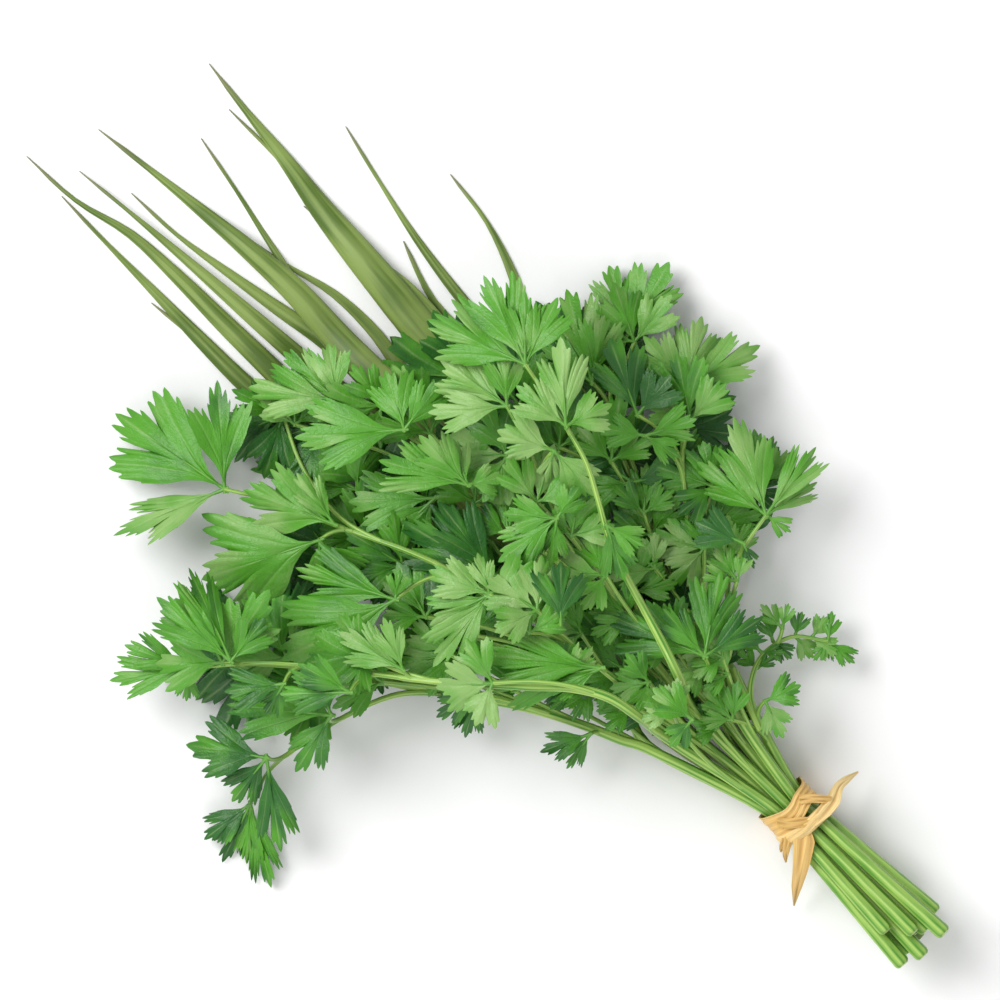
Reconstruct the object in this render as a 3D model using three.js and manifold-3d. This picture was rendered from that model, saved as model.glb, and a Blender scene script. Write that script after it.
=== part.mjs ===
// A tied bunch of flat-leaf parsley with onion leaves behind it, lying on a table.
// Millimetres. +Z is up and the table is z = 0. Until the last step the origin is under the tie,
// with +X along the bunch from the tie to the leaf tips.
import * as THREE from 'three';
import { mergeVertices } from 'three/addons/utils/BufferGeometryUtils.js';
import Module from 'manifold-3d';

const wasm = await Module();
wasm.setup();
const radians = THREE.MathUtils.degToRad;
const { lerp } = THREE.MathUtils;

// ---- Driving dimensions ----------------------------------------------------------------------

// The bunch is laid out from above on a square sheet. Places on it are in quarter millimetres,
// right and down from its corner. The stems lie across it, cut ends at the lower right.
const SHEET_STEP = 0.25;
const TIE_ON_SHEET = [797, 815];
const SHEET_TURN = Math.PI / 4;

const GAP = 0.5; // air kept between one piece and the next
const CELL = 1.5; // square of the height map that pieces are laid on
const MAP_LOW = [-60, -90]; // corner of the height map
const MAP_CELLS = [220, 160];

const STEM_PITCH = 3.2; // between neighbouring stems in the tie
const ROW_RISE = STEM_PITCH * Math.sqrt(3) / 2;
const STEM_RADIUS = 1.42; // in the tie
const STEM_TIP_RADIUS = 0.8;
const STEM_SIDES = 6;
const BUNDLE_BASE = 2.95; // height of the lowest row of stems in the tie
const TIE_HALF = 7; // the tie holds the stems side by side this far each way
const FREE_X = 36; // past here each stem goes its own way
const SPREAD_ABOVE = 0.065; // how much the bundle opens for each millimetre above the tie
const RISE_ABOVE = 0.018;
const SPREAD_BELOW = 0.0155; // and below it
const FREE_TAPER = 0.94; // how thick a stem is there for its thickness in the tie
const SWELL_BELOW = 0.0125; // how much a stem thickens for each millimetre below the tie
const STATION = 9.5; // between the rings of a stem
const MAX_SLOPE = 0.5;

const PETIOLE_RADIUS = 0.62;
const PETIOLE_SIDES = 4;
const PETIOLE_STEPS = 4;
const ROOT_X = 14; // petioles leave their stems past here
const ROOT_BACK = 2;
const BLADE = 0.8; // thickness of a leaf blade, straight down
const HUB = 1; // from a petiole's end to the crotch between two of its leaflets
const WIDE_GAP = radians(150); // a gap between leaflets past this has two corners at the hub
const LARGE_LEAFLET = 23; // leaflets longer than this have more teeth
const SMALL_LEAFLET = 15; // and those shorter than this have fewer
const LEAF_EDGE = radians(33); // from the rib to the side edge of a leaflet of width 1
const CROWDING = 0.97; // share of the angle between two ribs that their leaflets may fill

const ONION_FLATNESS = 0.62; // height of an onion leaf for its width
const ONION_NECK = 1.2; // how thick an onion stalk leaves the tie for its thickness in it
const ONION_START = 0.75; // width of an onion leaf at its fork for its greatest width
const ONION_TAPER = 1.7; // the higher, the nearer the tip an onion leaf keeps its width
const ONION_TIP = 0.9;
const ONION_STATION = 16;
const ONION_TUCK = 10; // how far a leaf starts back inside its neck

const BAND_WIDTH = 7; // raffia band, along the bunch
const BAND_X = 3; // its middle
const BAND_THICK = 0.9;
const BAND_HALF = [6.7, 7.75]; // inside of the band, half across and half up
const BAND_SQUARE = 3; // exponent of the band's rounded outline
const BAND_CORNERS = 20;
const BAND_FLAT = 0.15; // how much of its underside is pressed level by the table
const WRAP_WIDTH = 3; // narrower second turn
const WRAP_X = -2.2;
const WRAP_SLANT = 0.2;
const KNOT_HALF = [2.8, 2.6, 1.5];
const KNOT_AT = [-3.9, 1.6, 0.2]; // its middle, the height from the top of the band
const RAFFIA = 0.8; // thickness of a loose end

// ---- Layout ----------------------------------------------------------------------------------

// Outline of a leaflet, outwards from the sinus beside its middle lobe and then across that lobe:
// [share of the angle from the rib to the side edge, reach for the leaflet's length].
const OUTLINES = {
  large: {
    side: [[0.34, 0.5], [0.46, 0.84], [0.57, 0.79], [0.7, 0.87], [0.81, 0.74], [0.95, 0.7], [1, 0.44]],
    middle: [[-0.24, 0.9], [-0.13, 0.86], [0, 1], [0.13, 0.86], [0.24, 0.9]],
  },
  usual: {
    side: [[0.34, 0.52], [0.5, 0.86], [0.64, 0.79], [0.87, 0.8], [1, 0.44]],
    middle: [[-0.23, 0.9], [-0.1, 0.86], [0, 1], [0.1, 0.86], [0.23, 0.9]],
  },
  small: {
    side: [[0.35, 0.58], [0.6, 0.88], [0.93, 0.74], [1, 0.44]],
    middle: [[-0.22, 0.88], [0, 1], [0.22, 0.88]],
  },
};
const RIB_SHARE = 0.68; // where the rib of a side lobe runs
const RIBS = [[-RIB_SHARE, 0.5], [0, 0.72], [RIB_SHARE, 0.5], [0, 0.4]];

// Leafy stems from the lowest in the pile to the highest. seat is [row in the tie from the bottom,
// place across it in stem pitches]. route is on the sheet. The first leaf sits on the stem's end and
// the others on petioles. Each leaf has the sheet place where its leaflets meet, and for each leaflet
// [tip right, tip down, width factor, degrees pitched up, degrees rolled].
const LEAFY_STEMS = [
  { name: 'parsley_stem_04', seat: [1, 1.5], cut: 38, tipHeight: 6,
    route: [[592, 680], [505, 612], [445, 545], [400, 505]],
    leaves: [
      { at: [357, 490], leaflets: [[362, 437, 1.1, 12, 8], [258, 430, 0.85, -8, -10],
        [302, 482, 0.9, -14, 12]] },
      { at: [435, 498], leaflets: [[343, 502, 1, -8, 10], [398, 545, 1.1, -16, -12],
        [366, 562, 0.9, -10, 6]] },
      { at: [495, 575], leaflets: [[404, 522, 0.95, -6, -14], [440, 503, 0.9, 8, 10]] },
    ] },
  { name: 'parsley_stem_08', seat: [1, -1.5], cut: 40, tipHeight: 8,
    route: [[690, 620], [655, 540], [635, 470], [610, 400]],
    leaves: [
      { at: [628, 332], leaflets: [[609, 264, 1, -6, 14], [668, 264, 1.05, -8, -12],
        [586, 300, 0.8, -16, 20]] },
      { at: [592, 382], leaflets: [[567, 291, 0.8, 4, -16], [604, 310, 0.9, 10, 12],
        [540, 345, 0.9, -10, 8]] },
      { at: [632, 482], leaflets: [[583, 450, 1.1, -10, -8], [700, 468, 0.9, -8, 12],
        [584, 494, 1, -16, 10]] },
    ] },
  { name: 'parsley_stem_03', seat: [2, 1], cut: 44, tipHeight: 9,
    route: [[600, 656], [500, 602], [430, 560], [335, 525], [275, 502]],
    leaves: [
      { at: [225, 489], leaflets: [[110, 410, 1.05, -6, -8], [218, 386, 0.9, 4, 10],
        [122, 532, 0.45, -8, 50]] },
      { at: [320, 540], leaflets: [[200, 580, 1, -8, -12], [322, 578, 1, -18, 8], [360, 584, 1, -12, 12]] },
      { at: [335, 524], leaflets: [[245, 490, 1.1, -4, -16], [300, 476, 0.8, 10, 16]] },
      { at: [396, 599], leaflets: [[286, 658, 1.1, -6, 12], [297, 568, 0.8, -10, -12],
        [400, 570, 0.9, 10, 8]] },
    ] },
  { name: 'parsley_stem_05', seat: [2, 0], cut: 42, tipHeight: 9,
    route: [[620, 622], [540, 545], [468, 487], [405, 432]],
    leaves: [
      { at: [338, 401], leaflets: [[252, 388, 0.9, -8, 12], [328, 341, 1, -4, -10],
        [284, 352, 0.8, -12, -18]] },
      { at: [405, 430], leaflets: [[385, 368, 0.9, 4, -12], [297, 438, 0.75, -6, 14],
        [440, 384, 0.8, 8, 10]] },
      { at: [468, 485], leaflets: [[378, 460, 0.8, 4, 10], [421, 437, 1, 10, -10], [502, 477, 1.1, -8, 14],
        [452, 438, 0.9, -4, 20]] },
    ] },
  { name: 'parsley_stem_09', seat: [2, -1], cut: 37, tipHeight: 9,
    route: [[706, 622], [692, 545], [682, 462]],
    leaves: [
      { at: [686, 385], leaflets: [[702, 316, 1, -6, 10], [757, 347, 0.9, -10, -10],
        [642, 335, 0.9, -8, 14]] },
      { at: [637, 415], leaflets: [[610, 341, 0.9, 2, 12], [672, 374, 1, 8, -8]] },
      { at: [645, 436], leaflets: [[699, 418, 1, 6, 12], [680, 458, 1, -10, -10],
        [600, 428, 0.9, -12, 8]] },
    ] },
  { name: 'parsley_stem_06', seat: [3, -0.5], cut: 43, tipHeight: 12,
    route: [[650, 642], [592, 562], [555, 512], [530, 452]],
    leaves: [
      { at: [507, 407], leaflets: [[438, 358, 1, -6, -8], [503, 353, 1.1, 6, 8],
        [433, 413, 0.8, -10, 16]] },
      { at: [553, 451], leaflets: [[497, 431, 1, 4, -10], [592, 494, 1, -10, 12],
        [546, 482, 1, -16, -10]] },
      { at: [556, 518], leaflets: [[500, 560, 1, -8, 12], [500, 513, 1.1, 4, -10], [579, 486, 1, 10, 12],
        [551, 563, 1, -14, 6]] },
    ] },
  { name: 'parsley_stem_11', seat: [3, -1.5], cut: 41.5, tipHeight: 10,
    route: [[763, 735], [750, 700], [757, 662], [790, 637]],
    leaves: [
      { at: [828, 641], leaflets: [[832, 612, 0.9, 10, 8], [856, 664, 0.9, -14, -10],
        [834, 662, 0.7, -20, 14],
        [814, 660, 0.7, -10, 10]] },
      { at: [782, 628], leaflets: [[762, 606, 0.9, -6, 10], [788, 603, 0.8, 8, -8]] },
      { at: [764, 700], leaflets: [[800, 684, 1, -6, -8], [782, 736, 1, -12, 10]] },
    ] },
  { name: 'parsley_stem_01', seat: [3, 1.5], cut: 45, tipHeight: 5,
    route: [[640, 747], [560, 717], [480, 699], [400, 694], [325, 728], [270, 770]],
    leaves: [
      { at: [250, 804], leaflets: [[204, 840, 0.9, -10, 10], [223, 860, 0.8, -6, -12],
        [246, 866, 0.7, -12, 10],
        [270, 886, 0.55, -8, 14]] },
      { at: [267, 757], leaflets: [[190, 745, 0.9, -8, 12], [231, 803, 0.8, -14, -10],
        [281, 850, 0.5, -10, 20]] },
      { at: [332, 714], leaflets: [[221, 703, 0.7, -6, 14], [316, 670, 0.9, 8, 10],
        [298, 768, 0.8, -16, 10]] },
      { at: [478, 690], leaflets: [[465, 738, 0.9, -12, 10], [438, 716, 1, -10, -10]] },
      { at: [590, 733], leaflets: [[541, 751, 0.9, -8, 12], [568, 766, 0.8, -14, -8]] },
    ] },
  { name: 'parsley_stem_12', seat: [3, 0.5], cut: 47, tipHeight: 14,
    route: [[692, 735], [642, 700], [600, 667], [545, 625]],
    leaves: [
      { at: [490, 593], leaflets: [[428, 569, 1, -8, 12], [478, 553, 1, 14, -8], [538, 566, 1, 8, 10],
        [430, 624, 1, -10, -12], [436, 662, 0.8, -16, 10]] },
      { at: [560, 622], leaflets: [[560, 561, 1, 4, 14]] },
      { at: [600, 666], leaflets: [[487, 653, 0.8, -4, 12], [492, 684, 0.7, -8, -10],
        [545, 692, 0.7, -12, 14]] },
    ] },
  { name: 'parsley_stem_10', seat: [4, -1], cut: 46.5, tipHeight: 14,
    route: [[728, 645], [727, 600], [732, 562], [748, 540]],
    leaves: [
      { at: [765, 515], leaflets: [[735, 423, 0.95, -4, 12], [816, 446, 0.9, -8, -10],
        [815, 483, 0.9, -14, 12],
        [702, 466, 0.8, -8, -14], [790, 532, 0.8, -16, 10]] },
      { at: [742, 543], leaflets: [[692, 521, 0.9, -4, 14], [752, 566, 0.8, -14, -10]] },
      { at: [703, 655], leaflets: [[719, 569, 0.9, -6, 12], [612, 616, 0.9, -8, -12],
        [660, 606, 0.8, 6, 14],
        [760, 617, 0.8, -10, 10]] },
    ] },
  { name: 'parsley_stem_02', seat: [4, 1], cut: 36, tipHeight: 7,
    route: [[600, 692], [520, 684], [440, 680], [340, 668], [262, 662]],
    leaves: [
      { at: [190, 668], leaflets: [[112, 680, 0.75, -6, 14], [130, 646, 0.8, 6, -14],
        [187, 701, 0.8, -20, 10]] },
      { at: [233, 660], leaflets: [[163, 600, 0.8, -6, -10], [191, 567, 0.5, 6, 30],
        [266, 618, 0.9, 6, 12]] },
      { at: [286, 682], leaflets: [[266, 714, 1.1, -14, -10], [228, 690, 1, -8, 10]] },
      { at: [352, 690], leaflets: [[282, 692, 0.9, -8, 14], [303, 663, 0.9, 4, -12]] },
      { at: [404, 668], leaflets: [[343, 632, 1, -6, 12], [386, 620, 0.9, 8, -10]] },
    ] },
  { name: 'parsley_stem_07', seat: [4, 0], cut: 41, tipHeight: 8,
    route: [[660, 640], [610, 545], [590, 475], [565, 427]],
    leaves: [
      { at: [525, 366], leaflets: [[484, 278, 0.9, -6, -10], [431, 322, 0.9, -10, 12],
        [524, 298, 0.8, 6, 8],
        [557, 300, 0.9, -4, -14]] },
      { at: [565, 427], leaflets: [[517, 388, 1, -6, 10], [560, 345, 0.9, 8, -6],
        [611, 405, 1, -10, -10]] },
      { at: [605, 525], leaflets: [[622, 577, 1, -12, 10], [643, 546, 1, -6, -8]] },
      { at: [690, 717], leaflets: [[654, 688, 1, 6, 12], [668, 744, 1, -12, -8]] },
    ] },
];

// Onion stalks: the neck's route to the fork, its width there, and each leaf's route from the fork to
// its tip with its greatest width.
const ONION_STALKS = [
  { name: 'onion_stalk_1', seat: [0, 1], cut: 40, neck: [[600, 650], [480, 550], [390, 470]], neckWidth: 7,
    leaves: [
      { width: 5.2, route: [[330, 425], [270, 368], [200, 300], [140, 241], [75, 200], [25, 155]] },
      { width: 4.6, route: [[310, 435], [245, 384], [150, 288], [100, 237], [60, 195]] },
      { width: 2.2, route: [[330, 455], [232, 377], [198, 341], [150, 302]] },
    ] },
  { name: 'onion_stalk_2', seat: [0, 0], cut: 44, neck: [[610, 640], [500, 530], [420, 455]], neckWidth: 6.5,
    leaves: [
      { width: 4.6, route: [[365, 412], [300, 358], [190, 263], [120, 204], [78, 170]] },
      { width: 4.2, route: [[385, 400], [330, 345], [290, 317], [200, 252], [160, 221], [130, 192]] },
    ] },
  { name: 'onion_stalk_3', seat: [0, -1], cut: 37, neck: [[690, 620], [620, 500], [560, 410]], neckWidth: 6.5,
    leaves: [
      { width: 3.4, route: [[535, 345], [510, 265], [494, 233], [475, 204], [450, 173]] },
      { width: 3, route: [[505, 350], [455, 290], [430, 258], [405, 221], [385, 190], [345, 125]] },
      { width: 4, route: [[505, 375], [437, 305], [418, 272], [403, 240]] },
    ] },
  { name: 'onion_stalk_4', seat: [1, 0.5], cut: 39, neck: [[620, 650], [520, 530], [450, 450]], neckWidth: 7.5,
    leaves: [
      { width: 7, route: [[415, 415], [378, 378], [340, 341], [300, 296], [260, 259], [180, 193], [97, 128]] },
      { width: 3, route: [[355, 352], [300, 290], [272, 247], [245, 204], [200, 137]] },
      { width: 3.4, route: [[420, 400], [385, 345], [340, 298], [290, 267], [235, 230]] },
    ] },
  { name: 'onion_stalk_5', seat: [1, -0.5], cut: 42, neck: [[660, 640], [560, 500], [490, 410]], neckWidth: 9,
    leaves: [
      { width: 8.4, route: [[460, 375], [434, 345], [408, 312], [378, 279], [345, 236], [318, 204], [288, 163],
        [262, 131], [208, 62]] },
      { width: 2.6, route: [[345, 236], [310, 195], [275, 155], [228, 108]] },
      { width: 4.4, route: [[470, 370], [437, 322], [395, 276], [345, 238], [303, 205]] },
    ] },
];

// Loose ends of the raffia, from the knot outwards: points and the width at each.
const RAFFIA_ENDS = [
  { points: [[-3.4, 1.6, 17], [-2.6, -3.5, 17.4], [-2.8, -8.6, 16.4], [-3, -13, 13.2], [-3.2, -18.4, 9.5]],
    widths: [3.4, 3.2, 2.4, 1.6, 0.7] },
  { points: [[-3.8, 1.4, 17], [-6.4, 4.2, 17.2], [-9.2, 7.2, 16.4], [-12.2, 11, 12.4], [-15.9, 16.6, 5.5]],
    widths: [4.4, 4.4, 3.6, 2.4, 0.7] },
  { points: [[-3.4, 2.6, 16.9], [-4.2, 6.6, 16.1], [-6, 9.8, 13.2]], widths: [1.6, 1.3, 0.7] },
];

// ---- Small helpers ---------------------------------------------------------------------------

const UP = new THREE.Vector3(0, 0, 1);
const LEVEL = Math.sin(Math.PI / 3); // half height of a six-sided tube for its corners' half height

/** The point of the table under a place on the sheet. */
function onTable([right, down]) {
  const r = (right - TIE_ON_SHEET[0]) * SHEET_STEP;
  const d = (down - TIE_ON_SHEET[1]) * SHEET_STEP;
  const c = Math.cos(SHEET_TURN);
  const s = Math.sin(SHEET_TURN);
  return new THREE.Vector3(-(c * r + s * d), c * d - s * r, 0);
}

/** A repeatable draw between low and high from a counter that each leaflet starts afresh. */
function draws(seed) {
  let state = seed * 7919 + 17;
  return (low, high) => {
    state = (state * 16807) % 2147483647;
    return low + (high - low) * (state / 2147483647);
  };
}

/** A smooth path through points on the table, cut into even steps of about the given length. */
function evenPath(points, step) {
  const curve = new THREE.CatmullRomCurve3(points, false, 'catmullrom', 0.5);
  const fine = curve.getPoints(16 * (points.length - 1));
  const reach = [0];
  for (let i = 1; i < fine.length; i += 1) {
    reach.push(reach[i - 1] + fine[i].distanceTo(fine[i - 1]));
  }
  const length = reach[reach.length - 1];
  const count = Math.max(2, Math.round(length / step));
  const path = [];
  let k = 1;
  for (let i = 0; i <= count; i += 1) {
    const want = length * i / count;
    while (k < fine.length - 1 && reach[k] < want) k += 1;
    const share = (want - reach[k - 1]) / (reach[k] - reach[k - 1]);
    path.push(fine[k - 1].clone().lerp(fine[k], share));
  }
  return path;
}

/** A closed solid from its points and triangles. */
function solid(points, triangles) {
  const vertProperties = new Float32Array(points.flatMap((p) => [p.x, p.y, p.z]));
  const triVerts = new Uint32Array(triangles);
  return new wasm.Manifold(new wasm.Mesh({ numProp: 3, vertProperties, triVerts }));
}

/**
 * A closed tube along a path, level across, with the width and height of its corners' ellipse at each
 * point. With six sides, one lies flat below and one above, at LEVEL of the ellipse's height.
 */
function tube(path, width, height, sides = STEM_SIDES) {
  const points = [];
  const triangles = [];
  path.forEach((p, i) => {
    const next = path[Math.min(i + 1, path.length - 1)];
    const ahead = next.clone().sub(path[Math.max(i - 1, 0)]).normalize();
    const across = new THREE.Vector3().crossVectors(UP, ahead).normalize();
    const over = new THREE.Vector3().crossVectors(ahead, across);
    for (let k = 0; k < sides; k += 1) {
      const turn = 2 * Math.PI * k / sides;
      points.push(p.clone()
        .addScaledVector(across, Math.cos(turn) * width[i] / 2)
        .addScaledVector(over, Math.sin(turn) * height[i] / 2));
    }
  });
  for (let i = 0; i + 1 < path.length; i += 1) {
    for (let k = 0; k < sides; k += 1) {
      const a = i * sides + k;
      const b = i * sides + (k + 1) % sides;
      triangles.push(a, b, b + sides, a, b + sides, a + sides);
    }
  }
  const last = (path.length - 1) * sides;
  for (let k = 1; k + 1 < sides; k += 1) {
    triangles.push(0, k + 1, k, last, last + k, last + k + 1);
  }
  return solid(points, triangles);
}

/** Joins solids and gives the mesh of the result, with its name and finish. */
function fused(name, solids, finish) {
  const whole = wasm.Manifold.union(solids).simplify(0.01);
  const { numProp, vertProperties, triVerts } = whole.getMesh();
  const geometry = new THREE.BufferGeometry();
  const positions = new Float32Array(vertProperties.length / numProp * 3);
  for (let i = 0; i < positions.length / 3; i += 1) {
    positions.set(vertProperties.subarray(i * numProp, i * numProp + 3), i * 3);
  }
  geometry.setAttribute('position', new THREE.BufferAttribute(positions, 3));
  geometry.setIndex(new THREE.BufferAttribute(new Uint32Array(triVerts), 1));
  geometry.computeVertexNormals();
  const mesh = new THREE.Mesh(geometry, finish);
  mesh.name = name;
  return mesh;
}

// ---- The pile --------------------------------------------------------------------------------

/** How high the pieces laid down so far reach over each square of the table. */
class Pile {
  constructor() {
    this.top = new Float64Array(MAP_CELLS[0] * MAP_CELLS[1]);
  }

  copy() {
    const twin = new Pile();
    twin.top.set(this.top);
    return twin;
  }

  /** Calls visit with the index of every square within reach of (x, y). */
  around(x, y, reach, visit) {
    const span = Math.ceil(reach / CELL);
    const cx = Math.floor((x - MAP_LOW[0]) / CELL);
    const cy = Math.floor((y - MAP_LOW[1]) / CELL);
    for (let i = cx - span; i <= cx + span; i += 1) {
      for (let j = cy - span; j <= cy + span; j += 1) {
        visit(i * MAP_CELLS[1] + j);
      }
    }
  }

  /** The lowest height at which the underside of something reaching so far round (x, y) is clear. */
  rest(x, y, reach) {
    let high = 0;
    this.around(x, y, reach, (index) => {
      high = Math.max(high, this.top[index]);
    });
    return high > 0 ? high + GAP : 0;
  }

  raise(x, y, reach, z) {
    this.around(x, y, reach, (index) => {
      this.top[index] = Math.max(this.top[index], z);
    });
  }
}

/** Marks a tube on the pile. */
function layTube(pile, path, width, height) {
  for (let i = 0; i + 1 < path.length; i += 1) {
    const steps = Math.ceil(path[i].distanceTo(path[i + 1]) / CELL);
    for (let k = 0; k <= steps; k += 1) {
      const t = k / steps;
      const p = path[i].clone().lerp(path[i + 1], t);
      const half = lerp(width[i], width[i + 1], t) / 2;
      const over = lerp(height[i], height[i + 1], t) / 2;
      pile.raise(p.x, p.y, Math.max(0, half - CELL / 2), p.z + over);
    }
  }
}

/** Sets the height of each point of a path to the least that clears the pile, with gentle slopes. */
function settle(path, width, height, wish, pile) {
  const need = path.map((p, i) => {
    let least = 0;
    for (const j of [Math.max(i - 1, 0), Math.min(i + 1, path.length - 1)]) {
      for (let k = 0; k <= 4; k += 1) {
        const q = p.clone().lerp(path[j], k / 4);
        least = Math.max(least, pile.rest(q.x, q.y, width[i] / 2 + GAP) + LEVEL * height[i] / 2);
      }
    }
    return least;
  });
  const z = need.map((least, i) => Math.max(least, wish[i]));
  z[0] = wish[0];
  for (let i = z.length - 2; i > 0; i -= 1) {
    const run = MAX_SLOPE * Math.hypot(path[i + 1].x - path[i].x, path[i + 1].y - path[i].y);
    z[i] = Math.max(z[i], z[i + 1] - run);
  }
  for (let i = 1; i < z.length; i += 1) {
    const run = MAX_SLOPE * Math.hypot(path[i].x - path[i - 1].x, path[i].y - path[i - 1].y);
    z[i] = Math.max(z[i], z[i - 1] - run);
  }
  path.forEach((p, i) => {
    p.z = z[i];
  });
}

// ---- Bundle in the tie -----------------------------------------------------------------------

/** Where the stem of a seat runs at x, in the part of the bunch near the tie. */
function inBundle([row, across], x) {
  const past = Math.max(0, Math.abs(x) - TIE_HALF);
  const spread = 1 + past * (x > 0 ? SPREAD_ABOVE : SPREAD_BELOW);
  const rise = 1 + past * (x > 0 ? RISE_ABOVE : SPREAD_BELOW);
  return new THREE.Vector3(x, across * STEM_PITCH * spread, BUNDLE_BASE + row * ROW_RISE * rise);
}

/** The points and diameters of a stem's lower part, from its cut end to where it goes its own way. */
function lowerStem({ seat, cut }, freeWidth) {
  const stations = [-cut, -TIE_HALF, TIE_HALF, FREE_X];
  const swell = 1 + SWELL_BELOW * (cut - TIE_HALF);
  const path = stations.map((x) => inBundle(seat, x));
  return { path, width: [2 * STEM_RADIUS * swell, 2 * STEM_RADIUS, 2 * STEM_RADIUS, freeWidth] };
}

// ---- Leaves ----------------------------------------------------------------------------------

/** One leaf: the leaflets that meet at the end of a petiole, as one thin sheet of their outlines. */
class Leaf {
  constructor({ at, leaflets }, seed) {
    this.joint = onTable(at);
    this.leaflets = leaflets.map(([right, down, width, pitch, roll], k) => {
      const draw = draws(seed + k);
      const reach = onTable([right, down]).sub(this.joint);
      return {
        heading: Math.atan2(reach.y, reach.x),
        length: Math.hypot(reach.x, reach.y),
        half: LEAF_EDGE * width,
        pitch: Math.tan(radians(pitch)),
        roll: Math.tan(radians(roll)),
        arch: draw(0.04, 0.16),
        fold: draw(-0.3, 0.5),
        crease: draw(0.02, 0.045),
        lean: [draw(0.88, 1.06), draw(0.88, 1.06)],
        draw,
      };
    }).sort((a, b) => a.heading - b.heading);
    this.makeRoom();
  }

  /** The angle from one leaflet's rib round to the next leaflet's. */
  gapAfter(k) {
    const next = this.leaflets[(k + 1) % this.leaflets.length];
    const gap = next.heading - this.leaflets[k].heading;
    return gap > 0 ? gap : gap + 2 * Math.PI;
  }

  /** Narrows the leaflets that would overlap a neighbour. */
  makeRoom() {
    const halves = this.leaflets.map((leaflet) => leaflet.half);
    const count = halves.length;
    halves.forEach((half, k) => {
      const next = (k + 1) % count;
      const squeeze = Math.min(1, CROWDING * this.gapAfter(k) / (half + halves[next]));
      this.leaflets[k].half = Math.min(this.leaflets[k].half, half * squeeze);
      this.leaflets[next].half = Math.min(this.leaflets[next].half, halves[next] * squeeze);
    });
  }

  /** A point of a leaflet's upper face from the joint: share of the angle to its edge, and reach. */
  on(leaflet, share, reach) {
    const turn = share * leaflet.half;
    const a = reach * Math.cos(turn);
    const b = reach * Math.sin(turn);
    const wave = leaflet.crease * reach * Math.cos(2 * Math.PI * share / RIB_SHARE);
    const sag = leaflet.arch * reach ** 2 + leaflet.fold * b ** 2;
    const lift = a * leaflet.pitch + b * leaflet.roll + wave - sag;
    return new THREE.Vector3(
      reach * Math.cos(leaflet.heading + turn),
      reach * Math.sin(leaflet.heading + turn),
      lift,
    ).multiplyScalar(leaflet.length);
  }

  /** Calls visit with points of the table plan and height spread over all blades. */
  spread(visit) {
    for (const leaflet of this.leaflets) {
      for (let i = -10; i <= 10; i += 1) {
        for (let k = 1; k <= 18; k += 1) {
          const p = this.on(leaflet, i / 10, (Math.abs(i) < 3 ? 1 : 0.9) * k / 18);
          visit(this.joint.x + p.x, this.joint.y + p.y, p.z);
        }
      }
    }
  }

  /** Raises the joint to the least height at which its blades clear each pile. */
  settle(least, piles) {
    let z = least;
    this.spread((x, y, lift) => {
      for (const pile of piles) {
        z = Math.max(z, pile.rest(x, y, CELL) - lift + BLADE);
      }
    });
    this.joint.z = z;
  }

  layOn(pile) {
    this.spread((x, y, lift) => pile.raise(x, y, 0, this.joint.z + lift));
  }

  /** The corners of the sheet at its hub, after one leaflet and before the next. */
  crotches(k) {
    const leaflet = this.leaflets[k];
    const gap = this.gapAfter(k);
    const turns = gap > WIDE_GAP ? [WIDE_GAP / 2, gap - WIDE_GAP / 2] : [gap / 2];
    return turns.map((turn) => new THREE.Vector3(
      HUB * Math.cos(leaflet.heading + turn),
      HUB * Math.sin(leaflet.heading + turn),
      0,
    ));
  }

  /** The leaf as one thin solid, split into triangles alike on both faces. */
  sheet() {
    const points = [new THREE.Vector3()];
    const upper = [];
    const rim = [];
    const add = (p) => points.push(p) - 1;
    const corners = this.leaflets.map((_, k) => this.crotches(k).map(add));
    const count = this.leaflets.length;
    this.leaflets.forEach((leaflet, k) => {
      const size = leaflet.length > LARGE_LEAFLET ? 'large' : 'usual';
      const { side, middle } = OUTLINES[leaflet.length < SMALL_LEAFLET ? 'small' : size];
      const tooth = (share, reach) => add(this.on(leaflet, share, reach * leaflet.draw(0.95, 1.04)));
      const right = side.map(([share, reach]) => tooth(-share, reach * leaflet.lean[0]));
      const across = middle.map(([share, reach]) => tooth(share, reach));
      const left = side.map(([share, reach]) => tooth(share, reach * leaflet.lean[1]));
      const ribs = RIBS.map(([share, reach]) => add(this.on(leaflet, share, reach)));
      const [rightRib, tipRib, leftRib, heart] = ribs;
      const before = corners[(k + count - 1) % count].at(-1);
      const after = corners[k][0];
      const fan = (hub, line) => {
        for (let i = 0; i + 1 < line.length; i += 1) upper.push([hub, line[i], line[i + 1]]);
      };
      right.reverse();
      fan(rightRib, [before, ...right]);
      fan(tipRib, [right.at(-1), ...across, left[0]]);
      fan(leftRib, [...left, after]);
      fan(heart, [before, rightRib, right.at(-1), tipRib, left[0], leftRib, after, before]);
      rim.push(before, ...right, ...across, ...left, after);
      upper.push([0, before, after]);
      if (corners[k].length > 1) upper.push([0, ...corners[k]]);
    });
    const face = points.map((p) => p.add(this.joint));
    const under = face.map((p) => new THREE.Vector3(p.x, p.y, p.z - BLADE));
    const total = face.length;
    const triangles = upper.flatMap(([a, b, c]) => [a, b, c, total + a, total + c, total + b]);
    rim.forEach((a, k) => {
      const b = rim[(k + 1) % rim.length];
      if (a !== b) triangles.push(b, a, total + a, b, total + a, total + b);
    });
    return solid([...face, ...under], triangles);
  }
}

// ---- Leafy stems -----------------------------------------------------------------------------

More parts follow.
